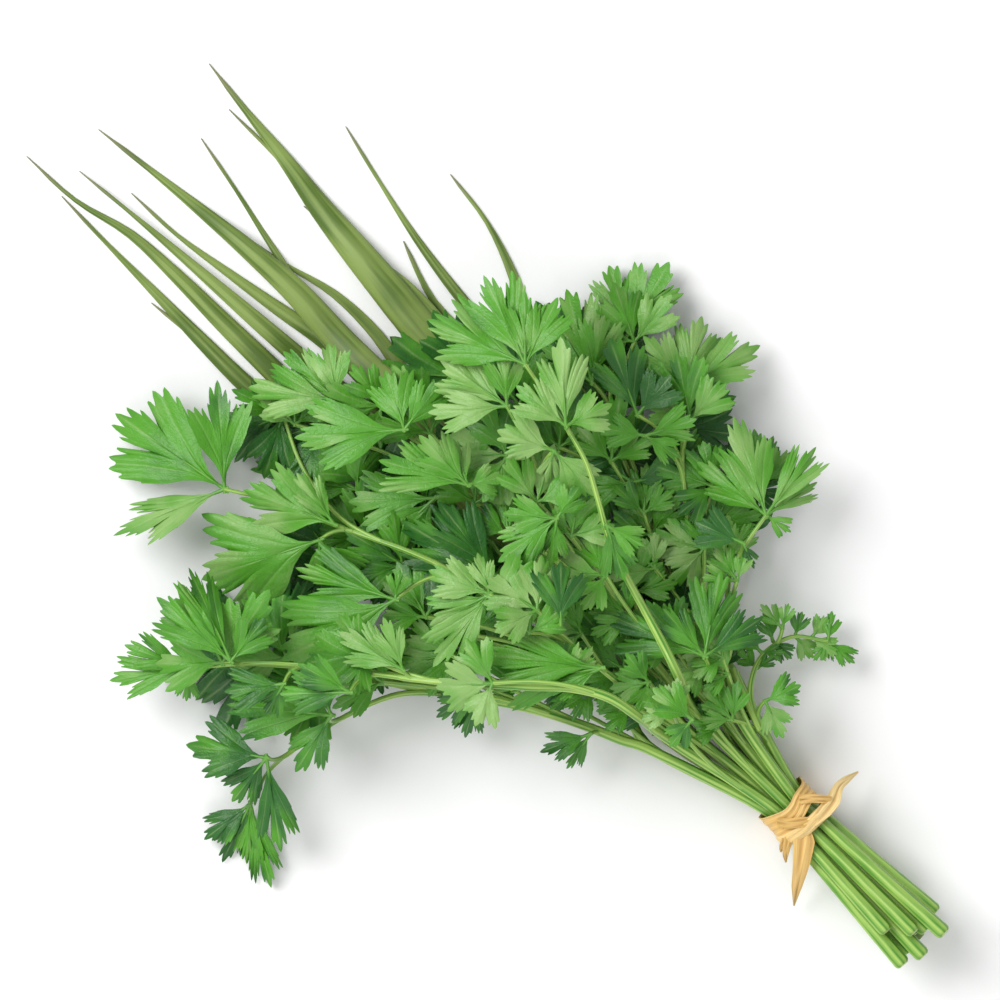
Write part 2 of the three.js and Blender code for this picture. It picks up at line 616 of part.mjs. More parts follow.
/** Where a petiole leaves its stem, so that it comes away towards its joint at a slant. */
function petioleRoot(path, joint) {
  const spots = [];
  for (let i = 0; i + 1 < path.length; i += 1) {
    const ahead = path[i + 1].clone().sub(path[i]).normalize();
    for (let k = 0; k < 8; k += 1) {
      spots.push({ root: path[i].clone().lerp(path[i + 1], k / 8), ahead });
    }
  }
  const away = ({ root }) => Math.hypot(root.x - joint.x, root.y - joint.y);
  const free = spots.filter(({ root }) => root.x > ROOT_X);
  const nearest = free.reduce((best, spot) => (away(spot) < away(best) ? spot : best));
  const back = away(nearest) + ROOT_BACK;
  const before = free.slice(0, free.indexOf(nearest) + 1);
  return before.reverse().find(({ root }) => root.distanceTo(nearest.root) > back) ?? free[0];
}

/** The path of a petiole from its stem to its joint, clear of what lies below. */
function petiolePath(stem, joint, pile) {
  const { root, ahead } = petioleRoot(stem, joint);
  const bend = root.clone().addScaledVector(ahead, 0.5 * root.distanceTo(joint));
  const end = joint.clone().setZ(joint.z - BLADE / 2);
  const curve = new THREE.QuadraticBezierCurve3(root, bend, end);
  const path = curve.getPoints(PETIOLE_STEPS);
  if (root.x < FREE_X) return path;
  return path.map((p, i) => {
    const least = pile.rest(p.x, p.y, 2 * PETIOLE_RADIUS + CELL) + PETIOLE_RADIUS;
    return i > 0 && i < PETIOLE_STEPS ? p.setZ(Math.max(p.z, least)) : p;
  });
}

function leafyStem(stem, order, pile, bundle) {
  const below = pile.copy();
  const seed = 1000 * (order + 1);
  const [last, ...others] = stem.leaves.map((leaf, k) => new Leaf(leaf, seed + 10 * k));
  // The last leaf sits on the end of the stem, so its height sets the stem's.
  last.settle(stem.tipHeight, [below, bundle]);
  const lower = lowerStem(stem, 2 * STEM_RADIUS * FREE_TAPER);
  const start = lower.path.at(-1);
  const end = last.joint.clone().setZ(0);
  const way = evenPath([start.clone().setZ(0), ...stem.route.map(onTable), end], STATION);
  const share = way.map((_, i) => i / (way.length - 1));
  const width = share.map((t) => 2 * lerp(STEM_RADIUS * FREE_TAPER, STEM_TIP_RADIUS, t));
  const wish = share.map((t) => lerp(start.z, last.joint.z, t * t * (3 - 2 * t)));
  settle(way, width, width, wish, below);
  last.joint.z = way.at(-1).z;
  const path = [...lower.path, ...way.slice(1)];
  const widths = [...lower.width, ...width.slice(1)];
  const solids = [tube(path, widths, widths)];
  layTube(pile, path, widths, widths);
  last.layOn(pile);
  for (const leaf of others) {
    leaf.settle(PETIOLE_RADIUS, [pile, bundle]);
    const petiole = petiolePath(path, leaf.joint, below);
    const thick = petiole.map(() => 2 * PETIOLE_RADIUS);
    solids.push(tube(petiole, thick, thick, PETIOLE_SIDES));
    layTube(pile, petiole, thick, thick);
    leaf.layOn(pile);
  }
  solids.push(...[last, ...others].map((leaf) => leaf.sheet()));
  return fused(stem.name, solids, PARSLEY);
}

// ---- Onion stalks ----------------------------------------------------------------------------

function onionStalk(stalk, pile) {
  const below = pile.copy();
  const lower = lowerStem(stalk, 2 * STEM_RADIUS * ONION_NECK);
  const start = lower.path.at(-1);
  const neck = evenPath([start.clone().setZ(0), ...stalk.neck.map(onTable)], ONION_STATION);
  const share = neck.map((_, i) => i / (neck.length - 1));
  const neckWidth = share.map((t) => lerp(lower.width.at(-1), stalk.neckWidth, t));
  const neckHeight = share.map((t, i) => neckWidth[i] * lerp(1, ONION_FLATNESS, Math.min(1, 2 * t)));
  const neckWish = neckHeight.map((h, i) => (i === 0 ? start.z : LEVEL * h / 2));
  settle(neck, neckWidth, neckHeight, neckWish, below);
  const path = [...lower.path, ...neck.slice(1)];
  const widths = [...lower.width, ...neckWidth.slice(1)];
  const heights = [...lower.width, ...neckHeight.slice(1)];
  const solids = [tube(path, widths, heights)];
  layTube(pile, path, widths, heights);
  const fork = neck.at(-1);
  const back = neck.at(-2).clone().sub(fork).setZ(0).normalize();
  for (const leaf of stalk.leaves) {
    const points = [fork.clone().addScaledVector(back, ONION_TUCK).setZ(0), ...leaf.route.map(onTable)];
    const way = evenPath(points, ONION_STATION);
    const width = way.map((_, i) => {
      const t = i / (way.length - 1);
      const swell = lerp(ONION_START, 1, Math.min(1, 3 * t));
      return Math.max(ONION_TIP, leaf.width * swell * (1 - t ** ONION_TAPER));
    });
    const height = width.map((w) => Math.max(ONION_TIP, w * ONION_FLATNESS));
    const wish = height.map((h, i) => (i === 0 ? fork.z : LEVEL * h / 2));
    settle(way, width, height, wish, below);
    solids.push(tube(way, width, height));
    layTube(pile, way, width, height);
  }
  return fused(stalk.name, solids, ONION);
}

// ---- Raffia tie ------------------------------------------------------------------------------

const TIE_MIDDLE = BAND_HALF[1] + BAND_THICK - BAND_FLAT; // height of the band's middle

/** The rounded outline round the bundle, grown outwards and cut level at the table. */
function bandOutline(grow) {
  const points = [];
  for (let k = 0; k < BAND_CORNERS; k += 1) {
    const turn = 2 * Math.PI * k / BAND_CORNERS;
    const c = Math.cos(turn);
    const s = Math.sin(turn);
    const bulge = (Math.abs(c) ** BAND_SQUARE + Math.abs(s) ** BAND_SQUARE) ** (-1 / BAND_SQUARE);
    const y = (BAND_HALF[0] + grow) * c * bulge;
    const z = TIE_MIDDLE + (BAND_HALF[1] + grow) * s * bulge;
    points.push(new THREE.Vector2(y, Math.max(0, z)));
  }
  return points;
}

/** One turn of raffia round the bundle, from a ring extruded along it and slanted. */
function turn(middle, width, thick, slant) {
  const ring = new THREE.Shape(bandOutline(thick));
  ring.holes.push(new THREE.Path(bandOutline(0)));
  const geometry = new THREE.ExtrudeGeometry(ring, { depth: width, bevelEnabled: false, steps: 1 });
  geometry.deleteAttribute('normal');
  geometry.deleteAttribute('uv');
  // The extrusion runs along z: turn it so that it runs along x, with the outline upright.
  geometry.rotateX(Math.PI / 2);
  geometry.rotateZ(Math.PI / 2);
  geometry.translate(middle - width / 2, 0, 0);
  return closed(geometry, slant);
}

/** A solid from a closed three.js geometry, leaning along x by slant for each millimetre across. */
function closed(geometry, slant = 0) {
  const merged = mergeVertices(geometry, 1e-4);
  const at = merged.getAttribute('position');
  const points = [];
  for (let i = 0; i < at.count; i += 1) {
    points.push(new THREE.Vector3(at.getX(i) + slant * at.getY(i), at.getY(i), at.getZ(i)));
  }
  return solid(points, Array.from(merged.getIndex().array));
}

/** A flat strip of raffia through points, with its width at each. */
function strip({ points, widths }) {
  return tube(points.map((p) => new THREE.Vector3(...p)), widths, widths.map(() => RAFFIA), 4);
}

function raffiaTie() {
  const [along, across, over] = KNOT_AT;
  const knot = new THREE.SphereGeometry(1, 10, 6);
  knot.deleteAttribute('normal');
  knot.deleteAttribute('uv');
  knot.scale(...KNOT_HALF);
  knot.translate(along, across, TIE_MIDDLE + BAND_HALF[1] + BAND_THICK + over);
  const solids = [
    turn(BAND_X, BAND_WIDTH, BAND_THICK, 0),
    turn(WRAP_X, WRAP_WIDTH, BAND_THICK, WRAP_SLANT),
    closed(knot),
    ...RAFFIA_ENDS.map(strip),
  ];
  return fused('raffia_tie', solids, RAFFIA_FINISH);
}

// ---- Finishes and the whole bunch ------------------------------------------------------------

const PARSLEY = new THREE.MeshStandardMaterial({ color: 0x4f9a34, roughness: 0.5, metalness: 0 });
const ONION = new THREE.MeshStandardMaterial({ color: 0x73913c, roughness: 0.45, metalness: 0 });
const RAFFIA_FINISH = new THREE.MeshStandardMaterial({ color: 0xe6be73, roughness: 0.7, metalness: 0 });

const pile = new Pile();
const bundle = new Pile();
for (const stem of [...ONION_STALKS, ...LEAFY_STEMS]) {
  const { path, width } = lowerStem(stem, 2 * STEM_RADIUS);
  layTube(bundle, path, width, width);
}

const bunch = new THREE.Group();
ONION_STALKS.forEach((stalk) => bunch.add(onionStalk(stalk, pile)));
LEAFY_STEMS.forEach((stem, order) => bunch.add(leafyStem(stem, order, pile, bundle)));
bunch.add(raffiaTie());

// The finished part stands with the middle of its floor plan over the origin.
const extent = new THREE.Box3().setFromObject(bunch);
const middle = extent.getCenter(new THREE.Vector3());
bunch.position.set(-middle.x, -middle.y, 0);
const part = new THREE.Group();
part.add(bunch);

export default part;
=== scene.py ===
"""Looks of a tied bunch of flat-leaf parsley with onion leaves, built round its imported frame.

The bunch is laid out in millimetres with the origin under the tie, +X along the bunch from the tie to the
leaf tips and +Z up. Pieces are moved into the frame, in metres, as their meshes are made.
"""

import logging
import math
from collections.abc import Iterable, Sequence
from dataclasses import dataclass, field
from enum import Enum

import bpy
import numpy as np
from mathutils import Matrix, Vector


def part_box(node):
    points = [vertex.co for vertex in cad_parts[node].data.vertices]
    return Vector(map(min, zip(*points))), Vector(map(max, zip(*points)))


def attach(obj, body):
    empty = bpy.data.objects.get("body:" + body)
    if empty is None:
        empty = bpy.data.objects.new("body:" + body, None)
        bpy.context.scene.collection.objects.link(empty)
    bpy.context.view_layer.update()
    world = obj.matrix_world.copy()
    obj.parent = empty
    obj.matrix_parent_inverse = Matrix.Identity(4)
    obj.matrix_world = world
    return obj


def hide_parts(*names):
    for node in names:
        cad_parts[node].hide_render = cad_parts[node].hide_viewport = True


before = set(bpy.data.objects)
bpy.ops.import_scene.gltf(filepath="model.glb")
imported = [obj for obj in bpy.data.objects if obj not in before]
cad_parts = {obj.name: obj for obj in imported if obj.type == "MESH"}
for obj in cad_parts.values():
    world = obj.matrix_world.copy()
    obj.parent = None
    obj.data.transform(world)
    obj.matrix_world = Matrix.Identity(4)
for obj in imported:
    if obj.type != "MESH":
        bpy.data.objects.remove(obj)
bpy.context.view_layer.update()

log = logging.getLogger("bunch")

Array = np.ndarray
Socket = bpy.types.NodeSocket
Material = bpy.types.Material
Piece = bpy.types.Object
Place = tuple[float, float]
Range = tuple[float, float]
Colour = tuple[float, float, float]
LeafletPlan = tuple[float, float, float, float, float]

MM = 0.001

# The sheet that the bunch is laid out on, from above, in quarter millimetres right and down.
SHEET_STEP = 0.25
TIE_ON_SHEET = (797.0, 815.0)
SHEET_TURN = math.pi / 4

GAP = 0.5  # air kept between one piece and the next
CELL = 1.5  # square of the height map that pieces are laid on
MAP_LOW = (-60.0, -90.0)  # corner of the height map
MAP_CELLS = (220, 160)
SPAN_CHECKS = 4  # heights looked up between two points of a route
CURVE_STEPS = 16  # steps of a span before a route is cut evenly
MAX_SLOPE = 0.5
LOWEST = 0.02  # least height of any point over the table
FLAT = np.array([1.0, 1.0, 0.0])  # a point times this is down on the table

STEM_PITCH = 3.2  # between neighbouring stems in the tie
ROW_RISE = STEM_PITCH * math.sqrt(3) / 2
STEM_RADIUS = 1.42  # in the tie
STEM_TIP_RADIUS = 0.8
BUNDLE_BASE = 2.95  # height of the lowest row of stems in the tie
TIE_HALF = 7.0  # the tie holds the stems side by side this far each way
FREE_X = 36.0  # past here each stem goes its own way
SPREAD_ABOVE = 0.065  # how much the bundle opens for each millimetre above the tie
RISE_ABOVE = 0.018
SPREAD_BELOW = 0.0155  # and below it
FREE_TAPER = 0.94  # how thick a stem is there for its thickness in the tie
SWELL_BELOW = 0.0125  # how much a stem thickens for each millimetre below the tie
STATION = 9.5  # between the points of a stem
LEVEL = math.sin(math.pi / 3)  # how high a tube's middle is over what it lies on, for its half height

PETIOLE_RADIUS = 0.62
PETIOLE_STEPS = 4
ROOT_X = 14.0  # petioles leave their stems past here
ROOT_BACK = 2.0
ROOT_PLACES = 8  # places in each span of a stem where a petiole may leave it
BLADE = 0.8  # thickness that a blade is given in the layout
LEAF_EDGE = math.radians(33)  # from the rib to the side edge of a leaflet of width 1
CROWDING = 0.97  # share of the angle between two ribs that their leaflets may fill
LEAST_WIDTH = 0.78  # share of its width that a squeezed leaflet keeps, lying over its neighbour
RIB_SHARE = 0.68  # where the rib of a side lobe runs
BLADE_SIDES = 10  # points spread over a blade to each side of its rib
BLADE_STEPS = 18  # and from its joint to its edge
MIDDLE_SIDES = 3  # how many of the points to each side belong to its middle lobe
SIDE_REACH = 0.9  # how far its side lobes reach for its length

ONION_FLATNESS = 0.62  # height of an onion leaf for its width
ONION_NECK = 1.2  # how thick an onion stalk leaves the tie for its thickness in it
ONION_START = 0.75  # width of an onion leaf at its fork for its greatest width
ONION_TAPER = 1.7  # the higher, the nearer the tip an onion leaf keeps its width
ONION_TIP = 0.9
ONION_STATION = 16.0
ONION_TUCK = 10.0  # how far a leaf starts back inside its neck

BAND_THICK = 0.9
BAND_HALF = (6.7, 7.75)  # inside of the band, half across and half up
BAND_SQUARE = 3.0  # exponent of the band's rounded outline
BAND_FLAT = 0.15  # how much of its underside is pressed level by the table
TIE_MIDDLE = BAND_HALF[1] + BAND_THICK - BAND_FLAT
WRAP_X = -2.2  # middle of the second turn
WRAP_SLANT = 0.2  # and how much it slants across the bunch


@dataclass(frozen=True)
class LeafPlan:
    """Where a leaf's leaflets meet on the sheet, each leaflet's tip and lie, and how light it is, partly its
    own green and partly painted light.
    """

    at: Place
    leaflets: tuple[LeafletPlan, ...]
    tone: float = 0.5


@dataclass(frozen=True)
class StemPlan:
    """A leafy stem: its seat in the tie, its cut length, its route on the sheet and its leaves."""

    name: str
    seat: Place
    cut: float
    tip_height: float
    route: tuple[Place, ...]
    leaves: tuple[LeafPlan, ...]


@dataclass(frozen=True)
class OnionLeafPlan:
    """A tubular onion leaf: its greatest width and its route from the fork."""

    width: float
    route: tuple[Place, ...]


@dataclass(frozen=True)
class OnionPlan:
    """An onion stalk: its seat and cut length in the tie, its neck to the fork, and its leaves."""

    name: str
    seat: Place
    cut: float
    neck: tuple[Place, ...]
    neck_width: float
    leaves: tuple[OnionLeafPlan, ...]


@dataclass(frozen=True)
class StripPlan:
    """A loose strip of the raffia: its points, its width at each, how far its edges stand up, and its lean.

    The lean is from 0, flat, to 1, on edge.
    """

    points: tuple[tuple[float, float, float], ...]
    widths: tuple[float, ...]
    cup: float
    tone: float
    seed: int
    lean: float = 0.0


# A leaf's tone is partly its own green and partly painted light: higher for leaves whose sheen catches the
# light, lower for leaves in shade deep in the bunch.
LEAFY_STEMS = (
    StemPlan("parsley_stem_04", seat=(1, 1.5), cut=38, tip_height=6,
        route=((592, 680), (505, 612), (445, 545), (400, 505)), leaves=(
        LeafPlan((357, 490), ((362, 437, 1.1, 12, 8), (258, 430, 0.85, -8, -10),
            (302, 482, 0.9, -14, 12)), 0.4),
        LeafPlan((435, 498), ((343, 502, 1, -8, 10), (398, 545, 1.1, -16, -12),
            (366, 562, 0.9, -10, 6)), 0.35),
        LeafPlan((495, 575), ((404, 522, 0.95, -6, -14), (440, 503, 0.9, 8, 10)), 0.25),
    )),
    StemPlan("parsley_stem_08", seat=(1, -1.5), cut=40, tip_height=8,
        route=((690, 620), (655, 540), (635, 470), (610, 400)), leaves=(
        LeafPlan((628, 332), ((609, 264, 1, -6, 14), (668, 264, 1.05, -8, -12),
            (586, 300, 0.8, -16, 20)), 0.65),
        LeafPlan((592, 382), ((567, 291, 0.8, 4, -16), (604, 310, 0.9, 10, 12),
            (540, 345, 0.9, -10, 8)), 0.5),
        LeafPlan((632, 482), ((583, 450, 1.1, -10, -8), (700, 468, 0.9, -8, 12),
            (584, 494, 1, -16, 10)), 0.35),
    )),
    StemPlan("parsley_stem_03", seat=(2, 1), cut=44, tip_height=9,
        route=((600, 656), (500, 602), (430, 560), (335, 525), (275, 502)), leaves=(
        LeafPlan((225, 489), ((110, 410, 1.05, -6, -8), (218, 386, 0.9, 4, 10),
            (122, 532, 0.45, -8, 50)), 0.6),
        LeafPlan((320, 540), ((200, 580, 1, -8, -12), (322, 578, 1, -18, 8), (360, 584, 1, -12, 12)), 0.6),
        LeafPlan((335, 524), ((245, 490, 1.1, -4, -16), (300, 476, 0.8, 10, 16)), 0.55),
        LeafPlan((396, 599), ((286, 658, 1.1, -6, 12), (297, 568, 0.8, -10, -12),
            (400, 570, 0.9, 10, 8)), 0.62),
    )),
    StemPlan("parsley_stem_05", seat=(2, 0), cut=42, tip_height=9,
        route=((620, 622), (540, 545), (468, 487), (405, 432)), leaves=(
        LeafPlan((338, 401), ((252, 388, 0.9, -8, 12), (328, 341, 1, -4, -10),
            (284, 352, 0.8, -12, -18)), 0.55),
        LeafPlan((405, 430), ((385, 368, 0.9, 4, -12), (297, 438, 0.75, -6, 14),
            (440, 384, 0.8, 8, 10)), 0.6),
        LeafPlan((468, 485), ((378, 460, 0.8, 4, 10), (421, 437, 1, 10, -10), (502, 477, 1.1, -8, 14),
            (452, 438, 0.9, -4, 20)), 0.6),
    )),
    StemPlan("parsley_stem_09", seat=(2, -1), cut=37, tip_height=9,
        route=((706, 622), (692, 545), (682, 462)), leaves=(
        LeafPlan((686, 385), ((702, 316, 1, -6, 10), (757, 347, 0.9, -10, -10),
            (642, 335, 0.9, -8, 14)), 0.65),
        LeafPlan((637, 415), ((610, 341, 0.9, 2, 12), (672, 374, 1, 8, -8)), 0.3),
        LeafPlan((645, 436), ((699, 418, 1, 6, 12), (680, 458, 1, -10, -10), (600, 428, 0.9, -12, 8)), 0.5),
    )),
    StemPlan("parsley_stem_06", seat=(3, -0.5), cut=43, tip_height=12,
        route=((650, 642), (592, 562), (555, 512), (530, 452)), leaves=(
        LeafPlan((507, 407), ((438, 358, 1, -6, -8), (503, 353, 1.1, 6, 8), (433, 413, 0.8, -10, 16)), 0.8),
        LeafPlan((553, 451), ((497, 431, 1, 4, -10), (592, 494, 1, -10, 12), (546, 482, 1, -16, -10)), 0.7),
        LeafPlan((556, 518), ((500, 560, 1, -8, 12), (500, 513, 1.1, 4, -10), (579, 486, 1, 10, 12),
            (551, 563, 1, -14, 6)), 0.65),
    )),
    StemPlan("parsley_stem_11", seat=(3, -1.5), cut=41.5, tip_height=10,
        route=((763, 735), (750, 700), (757, 662), (790, 637)), leaves=(
        LeafPlan((828, 641), ((832, 612, 0.9, 10, 8), (856, 664, 0.9, -14, -10),
            (834, 662, 0.7, -20, 14), (814, 660, 0.7, -10, 10)), 0.55),
        LeafPlan((782, 628), ((762, 606, 0.9, -6, 10), (788, 603, 0.8, 8, -8)), 0.55),
        LeafPlan((764, 700), ((800, 684, 1, -6, -8), (782, 736, 1, -12, 10)), 0.5),
    )),
    StemPlan("parsley_stem_01", seat=(3, 1.5), cut=45, tip_height=5,
        route=((640, 747), (560, 717), (480, 699), (400, 694), (325, 728), (270, 770)), leaves=(
        LeafPlan((250, 804), ((204, 840, 0.9, -10, 10), (223, 860, 0.8, -6, -12),
            (246, 866, 0.7, -12, 10), (270, 886, 0.55, -8, 14)), 0.15),
        LeafPlan((267, 757), ((190, 745, 0.9, -8, 12), (231, 803, 0.8, -14, -10),
            (281, 850, 0.5, -10, 20)), 0.12),
        LeafPlan((332, 714), ((221, 703, 0.7, -6, 14), (316, 670, 0.9, 8, 10),
            (298, 768, 0.8, -16, 10)), 0.2),
        LeafPlan((478, 690), ((465, 738, 0.9, -12, 10), (438, 716, 1, -10, -10)), 0.2),
        LeafPlan((590, 733), ((541, 751, 0.9, -8, 12), (568, 766, 0.8, -14, -8)), 0.3),
    )),
    StemPlan("parsley_stem_12", seat=(3, 0.5), cut=47, tip_height=14,
        route=((692, 735), (642, 700), (600, 667), (545, 625)), leaves=(
        LeafPlan((490, 593), ((428, 569, 1, -8, 12), (478, 553, 1, 14, -8), (538, 566, 1, 8, 10),
            (430, 624, 1, -10, -12), (436, 662, 0.8, -16, 10)), 0.6),
        LeafPlan((560, 622), ((560, 561, 1, 4, 14),), 0.2),
        LeafPlan((600, 666), ((487, 653, 0.8, -4, 12), (492, 684, 0.7, -8, -10),
            (545, 692, 0.7, -12, 14)), 0.55),
    )),
    StemPlan("parsley_stem_10", seat=(4, -1), cut=46.5, tip_height=14,
        route=((728, 645), (727, 600), (732, 562), (748, 540)), leaves=(
        LeafPlan((765, 515), ((735, 423, 0.95, -4, 12), (816, 446, 0.6, -8, -10),
            (815, 483, 0.6, -14, 12), (702, 466, 0.8, -8, -14), (790, 532, 0.8, -16, 10)), 0.65),
        LeafPlan((742, 543), ((692, 521, 0.9, -4, 14), (752, 566, 0.8, -14, -10)), 0.3),
        LeafPlan((703, 655), ((719, 569, 0.9, -6, 12), (612, 616, 0.9, -8, -12), (660, 606, 0.8, 6, 14),
            (760, 617, 0.8, -10, 10)), 0.36),
    )),
    StemPlan("parsley_stem_02", seat=(4, 1), cut=36, tip_height=7,
        route=((600, 692), (520, 684), (440, 680), (340, 668), (262, 662)), leaves=(
        LeafPlan((190, 668), ((112, 680, 0.75, -6, 14), (130, 646, 0.8, 6, -14),
            (187, 701, 0.8, -20, 10)), 0.5),
        LeafPlan((233, 660), ((163, 600, 0.8, -6, -10), (191, 567, 0.5, 6, 30),
            (266, 618, 0.9, 6, 12)), 0.28),
        LeafPlan((286, 682), ((266, 714, 1.1, -14, -10), (228, 690, 1, -8, 10)), 0.2),
        LeafPlan((352, 690), ((282, 692, 0.9, -8, 14), (303, 663, 0.9, 4, -12)), 0.3),
        LeafPlan((404, 668), ((343, 632, 1, -6, 12), (386, 620, 0.9, 8, -10)), 0.6),
    )),
    StemPlan("parsley_stem_07", seat=(4, 0), cut=41, tip_height=8,
        route=((660, 640), (610, 545), (590, 475), (565, 427)), leaves=(
        LeafPlan((525, 366), ((484, 278, 0.9, -6, -10), (431, 322, 0.9, -10, 12), (524, 298, 0.8, 6, 8),
            (557, 300, 0.9, -4, -14)), 0.65),
        LeafPlan((565, 427), ((517, 388, 1, -6, 10), (560, 345, 0.9, 8, -6), (611, 405, 1, -10, -10)), 0.8),
        LeafPlan((605, 525), ((622, 577, 1, -12, 10), (643, 546, 1, -6, -8)), 0.5),
        LeafPlan((690, 717), ((654, 688, 1, 6, 12), (668, 744, 1, -12, -8)), 0.4),
    )),
)

# The small leaves on the side sprig of a stem.
SMALL_LEAVES = {
    "parsley_stem_11": (
        LeafPlan((757, 668), ((738, 650, 0.9, 10, 8), (774, 656, 0.8, 6, -8)), 0.55),
        LeafPlan((761, 652), ((741, 632, 0.9, 10, 8), (784, 652, 0.8, 8, -8)), 0.6),
        LeafPlan((773, 641), ((764, 613, 0.9, 10, 8), (792, 659, 0.9, -8, -8)), 0.55),
        LeafPlan((795, 636), ((802, 611, 0.9, 10, 8), (814, 658, 0.9, -8, -8)), 0.6),
        LeafPlan((812, 637), ((828, 616, 0.9, 8, 8), (838, 655, 0.9, -8, -8)), 0.55),
    ),
}

ONION_STALKS = (
    OnionPlan("onion_stalk_1", seat=(0, 1), cut=40,
        neck=((600, 650), (480, 550), (390, 470)), neck_width=7, leaves=(
        OnionLeafPlan(5.2, ((330, 425), (270, 368), (200, 300), (140, 241), (75, 200), (25, 155))),
        OnionLeafPlan(4.6, ((310, 435), (245, 384), (150, 288), (100, 237), (60, 195))),
        OnionLeafPlan(2.2, ((330, 455), (232, 377), (198, 341), (150, 302))),
    )),
    OnionPlan("onion_stalk_2", seat=(0, 0), cut=44,
        neck=((610, 640), (500, 530), (420, 455)), neck_width=6.5, leaves=(
        OnionLeafPlan(4.6, ((365, 412), (300, 358), (190, 263), (120, 204), (78, 170))),
        OnionLeafPlan(4.2, ((385, 400), (330, 345), (290, 317), (200, 252), (160, 221), (130, 192))),
    )),
    OnionPlan("onion_stalk_3", seat=(0, -1), cut=37,
        neck=((690, 620), (620, 500), (560, 410)), neck_width=6.5, leaves=(
        OnionLeafPlan(3.4, ((535, 345), (510, 265), (494, 233), (475, 204), (450, 173))),
        OnionLeafPlan(3, ((505, 350), (455, 290), (430, 258), (405, 221), (385, 190), (345, 125))),
        OnionLeafPlan(4, ((505, 375), (437, 305), (418, 272), (403, 240))),
    )),
    OnionPlan("onion_stalk_4", seat=(1, 0.5), cut=39,
        neck=((620, 650), (520, 530), (450, 450)), neck_width=7.5, leaves=(
        OnionLeafPlan(7, ((415, 415), (378, 378), (340, 341), (300, 296), (260, 259), (180, 193), (97, 128))),
        OnionLeafPlan(3, ((355, 352), (300, 290), (272, 247), (245, 204), (200, 137))),
        OnionLeafPlan(3.4, ((420, 400), (385, 345), (340, 298), (290, 267), (235, 230))),
    )),
    OnionPlan("onion_stalk_5", seat=(1, -0.5), cut=42,
        neck=((660, 640), (560, 500), (490, 410)), neck_width=9, leaves=(
        OnionLeafPlan(8.4, ((460, 375), (434, 345), (408, 312), (378, 279), (345, 236), (318, 204),
            (288, 163), (262, 131), (208, 62))),
        OnionLeafPlan(2.6, ((345, 236), (310, 195), (275, 155), (228, 108))),
        OnionLeafPlan(4.4, ((470, 370), (437, 322), (395, 276), (345, 238), (303, 205))),
    )),
)

RAFFIA_STRIPS = (
    StripPlan(
        ((-4.1, -1.0, 17.6), (-3.9, -5.5, 17.5), (-3.5, -8.9, 16.8), (-2.2, -12.3, 15.2), (-2.4, -15.2, 12.8),
            (-3.2, -18.5, 9.6)),
        widths=(1.6, 3.6, 3.8, 2.5, 1.9, 0.4), cup=0.25, tone=0.95, seed=51, lean=0.12),
    StripPlan(
        ((-3.6, 1.2, 16.6), (-5.6, 3.4, 17.0), (-7.9, 6.3, 16.6), (-10.2, 9.3, 14.6), (-12.6, 12.7, 10.6),
            (-15.7, 16.6, 5.2)),
        widths=(3.0, 5.4, 4.7, 3.8, 2.7, 0.4), cup=0.1, tone=0.5, seed=52),
    StripPlan(
        ((-2.4, 5.4, 16.4), (-3.6, 7.4, 15.8), (-4.8, 9.0, 14.6), (-6.3, 10.3, 13.0)),
        widths=(2.4, 2.0, 1.5, 0.4), cup=0.1, tone=0.45, seed=53),
    StripPlan(
        ((-2.0, 6.4, 15.9), (-2.7, 8.2, 14.6), (-3.6, 9.4, 12.8)),
        widths=(1.8, 1.4, 0.4), cup=0.1, tone=0.4, seed=54),
    StripPlan(
        ((2.6, -3.2, 17.3), (0.8, -5.4, 17.9), (-1.2, -7.3, 18.0), (-3.0, -8.6, 17.2)),
        widths=(2.6, 2.3, 2.2, 2.0), cup=0.2, tone=0.5, seed=55, lean=-0.25),
    StripPlan(
        ((2.6, 4.6, 17.2), (0.4, 3.0, 17.5), (-1.6, 0.6, 17.6), (-3.0, -1.6, 17.4)),
        widths=(2.2, 2.6, 2.6, 1.6), cup=0.15, tone=0.4, seed=56, lean=0.1),
)

# The edge of the foliage on the sheet.
FOLIAGE_EDGE = (
    (700, 740), (745, 735), (790, 690), (745, 680), (730, 660), (735, 625), (725, 600), (728, 565),
    (760, 550), (785, 520), (810, 480), (800, 440), (760, 430), (735, 425), (725, 445), (700, 430),
    (690, 405), (755, 380), (755, 330), (700, 320), (670, 260), (615, 270), (600, 300), (555, 295),
    (520, 310), (485, 280), (440, 290), (425, 340), (400, 370), (335, 345), (290, 365), (255, 385),
    (190, 380), (150, 375), (90, 430), (100, 470), (190, 475), (240, 485), (330, 520), (300, 540),
    (205, 555), (215, 575), (165, 590), (165, 625), (120, 660), (120, 685), (195, 690), (290, 680),
    (300, 715), (230, 700), (195, 740), (200, 790), (235, 800), (205, 840), (265, 880), (275, 790),
    (330, 740), (400, 695), (440, 710), (465, 735), (500, 705), (560, 715), (545, 745), (590, 740),
    (620, 720),
)

# The edge of its dense middle.
INNER_EDGE = (
    (260, 400), (330, 360), (440, 300), (560, 310), (640, 330), (690, 400), (700, 440), (760, 450),
    (780, 500), (740, 560), (725, 640), (735, 720), (700, 735), (600, 700), (500, 690), (400, 680),
    (300, 690), (200, 670), (180, 600), (230, 560), (330, 525), (340, 500), (290, 440),
)


# ---- Layout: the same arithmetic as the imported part's ----


def on_table(place: Place) -> Array:
    """The point of the table under a place on the sheet.

    Args:
        place: Quarter millimetres right and down on the sheet.

    Returns:
        The point, in millimetres from under the tie.
    """
    right = (place[0] - TIE_ON_SHEET[0]) * SHEET_STEP
    down = (place[1] - TIE_ON_SHEET[1]) * SHEET_STEP
    c = math.cos(SHEET_TURN)
    s = math.sin(SHEET_TURN)
    return np.array([-(c * right + s * down), c * down - s * right, 0.0])


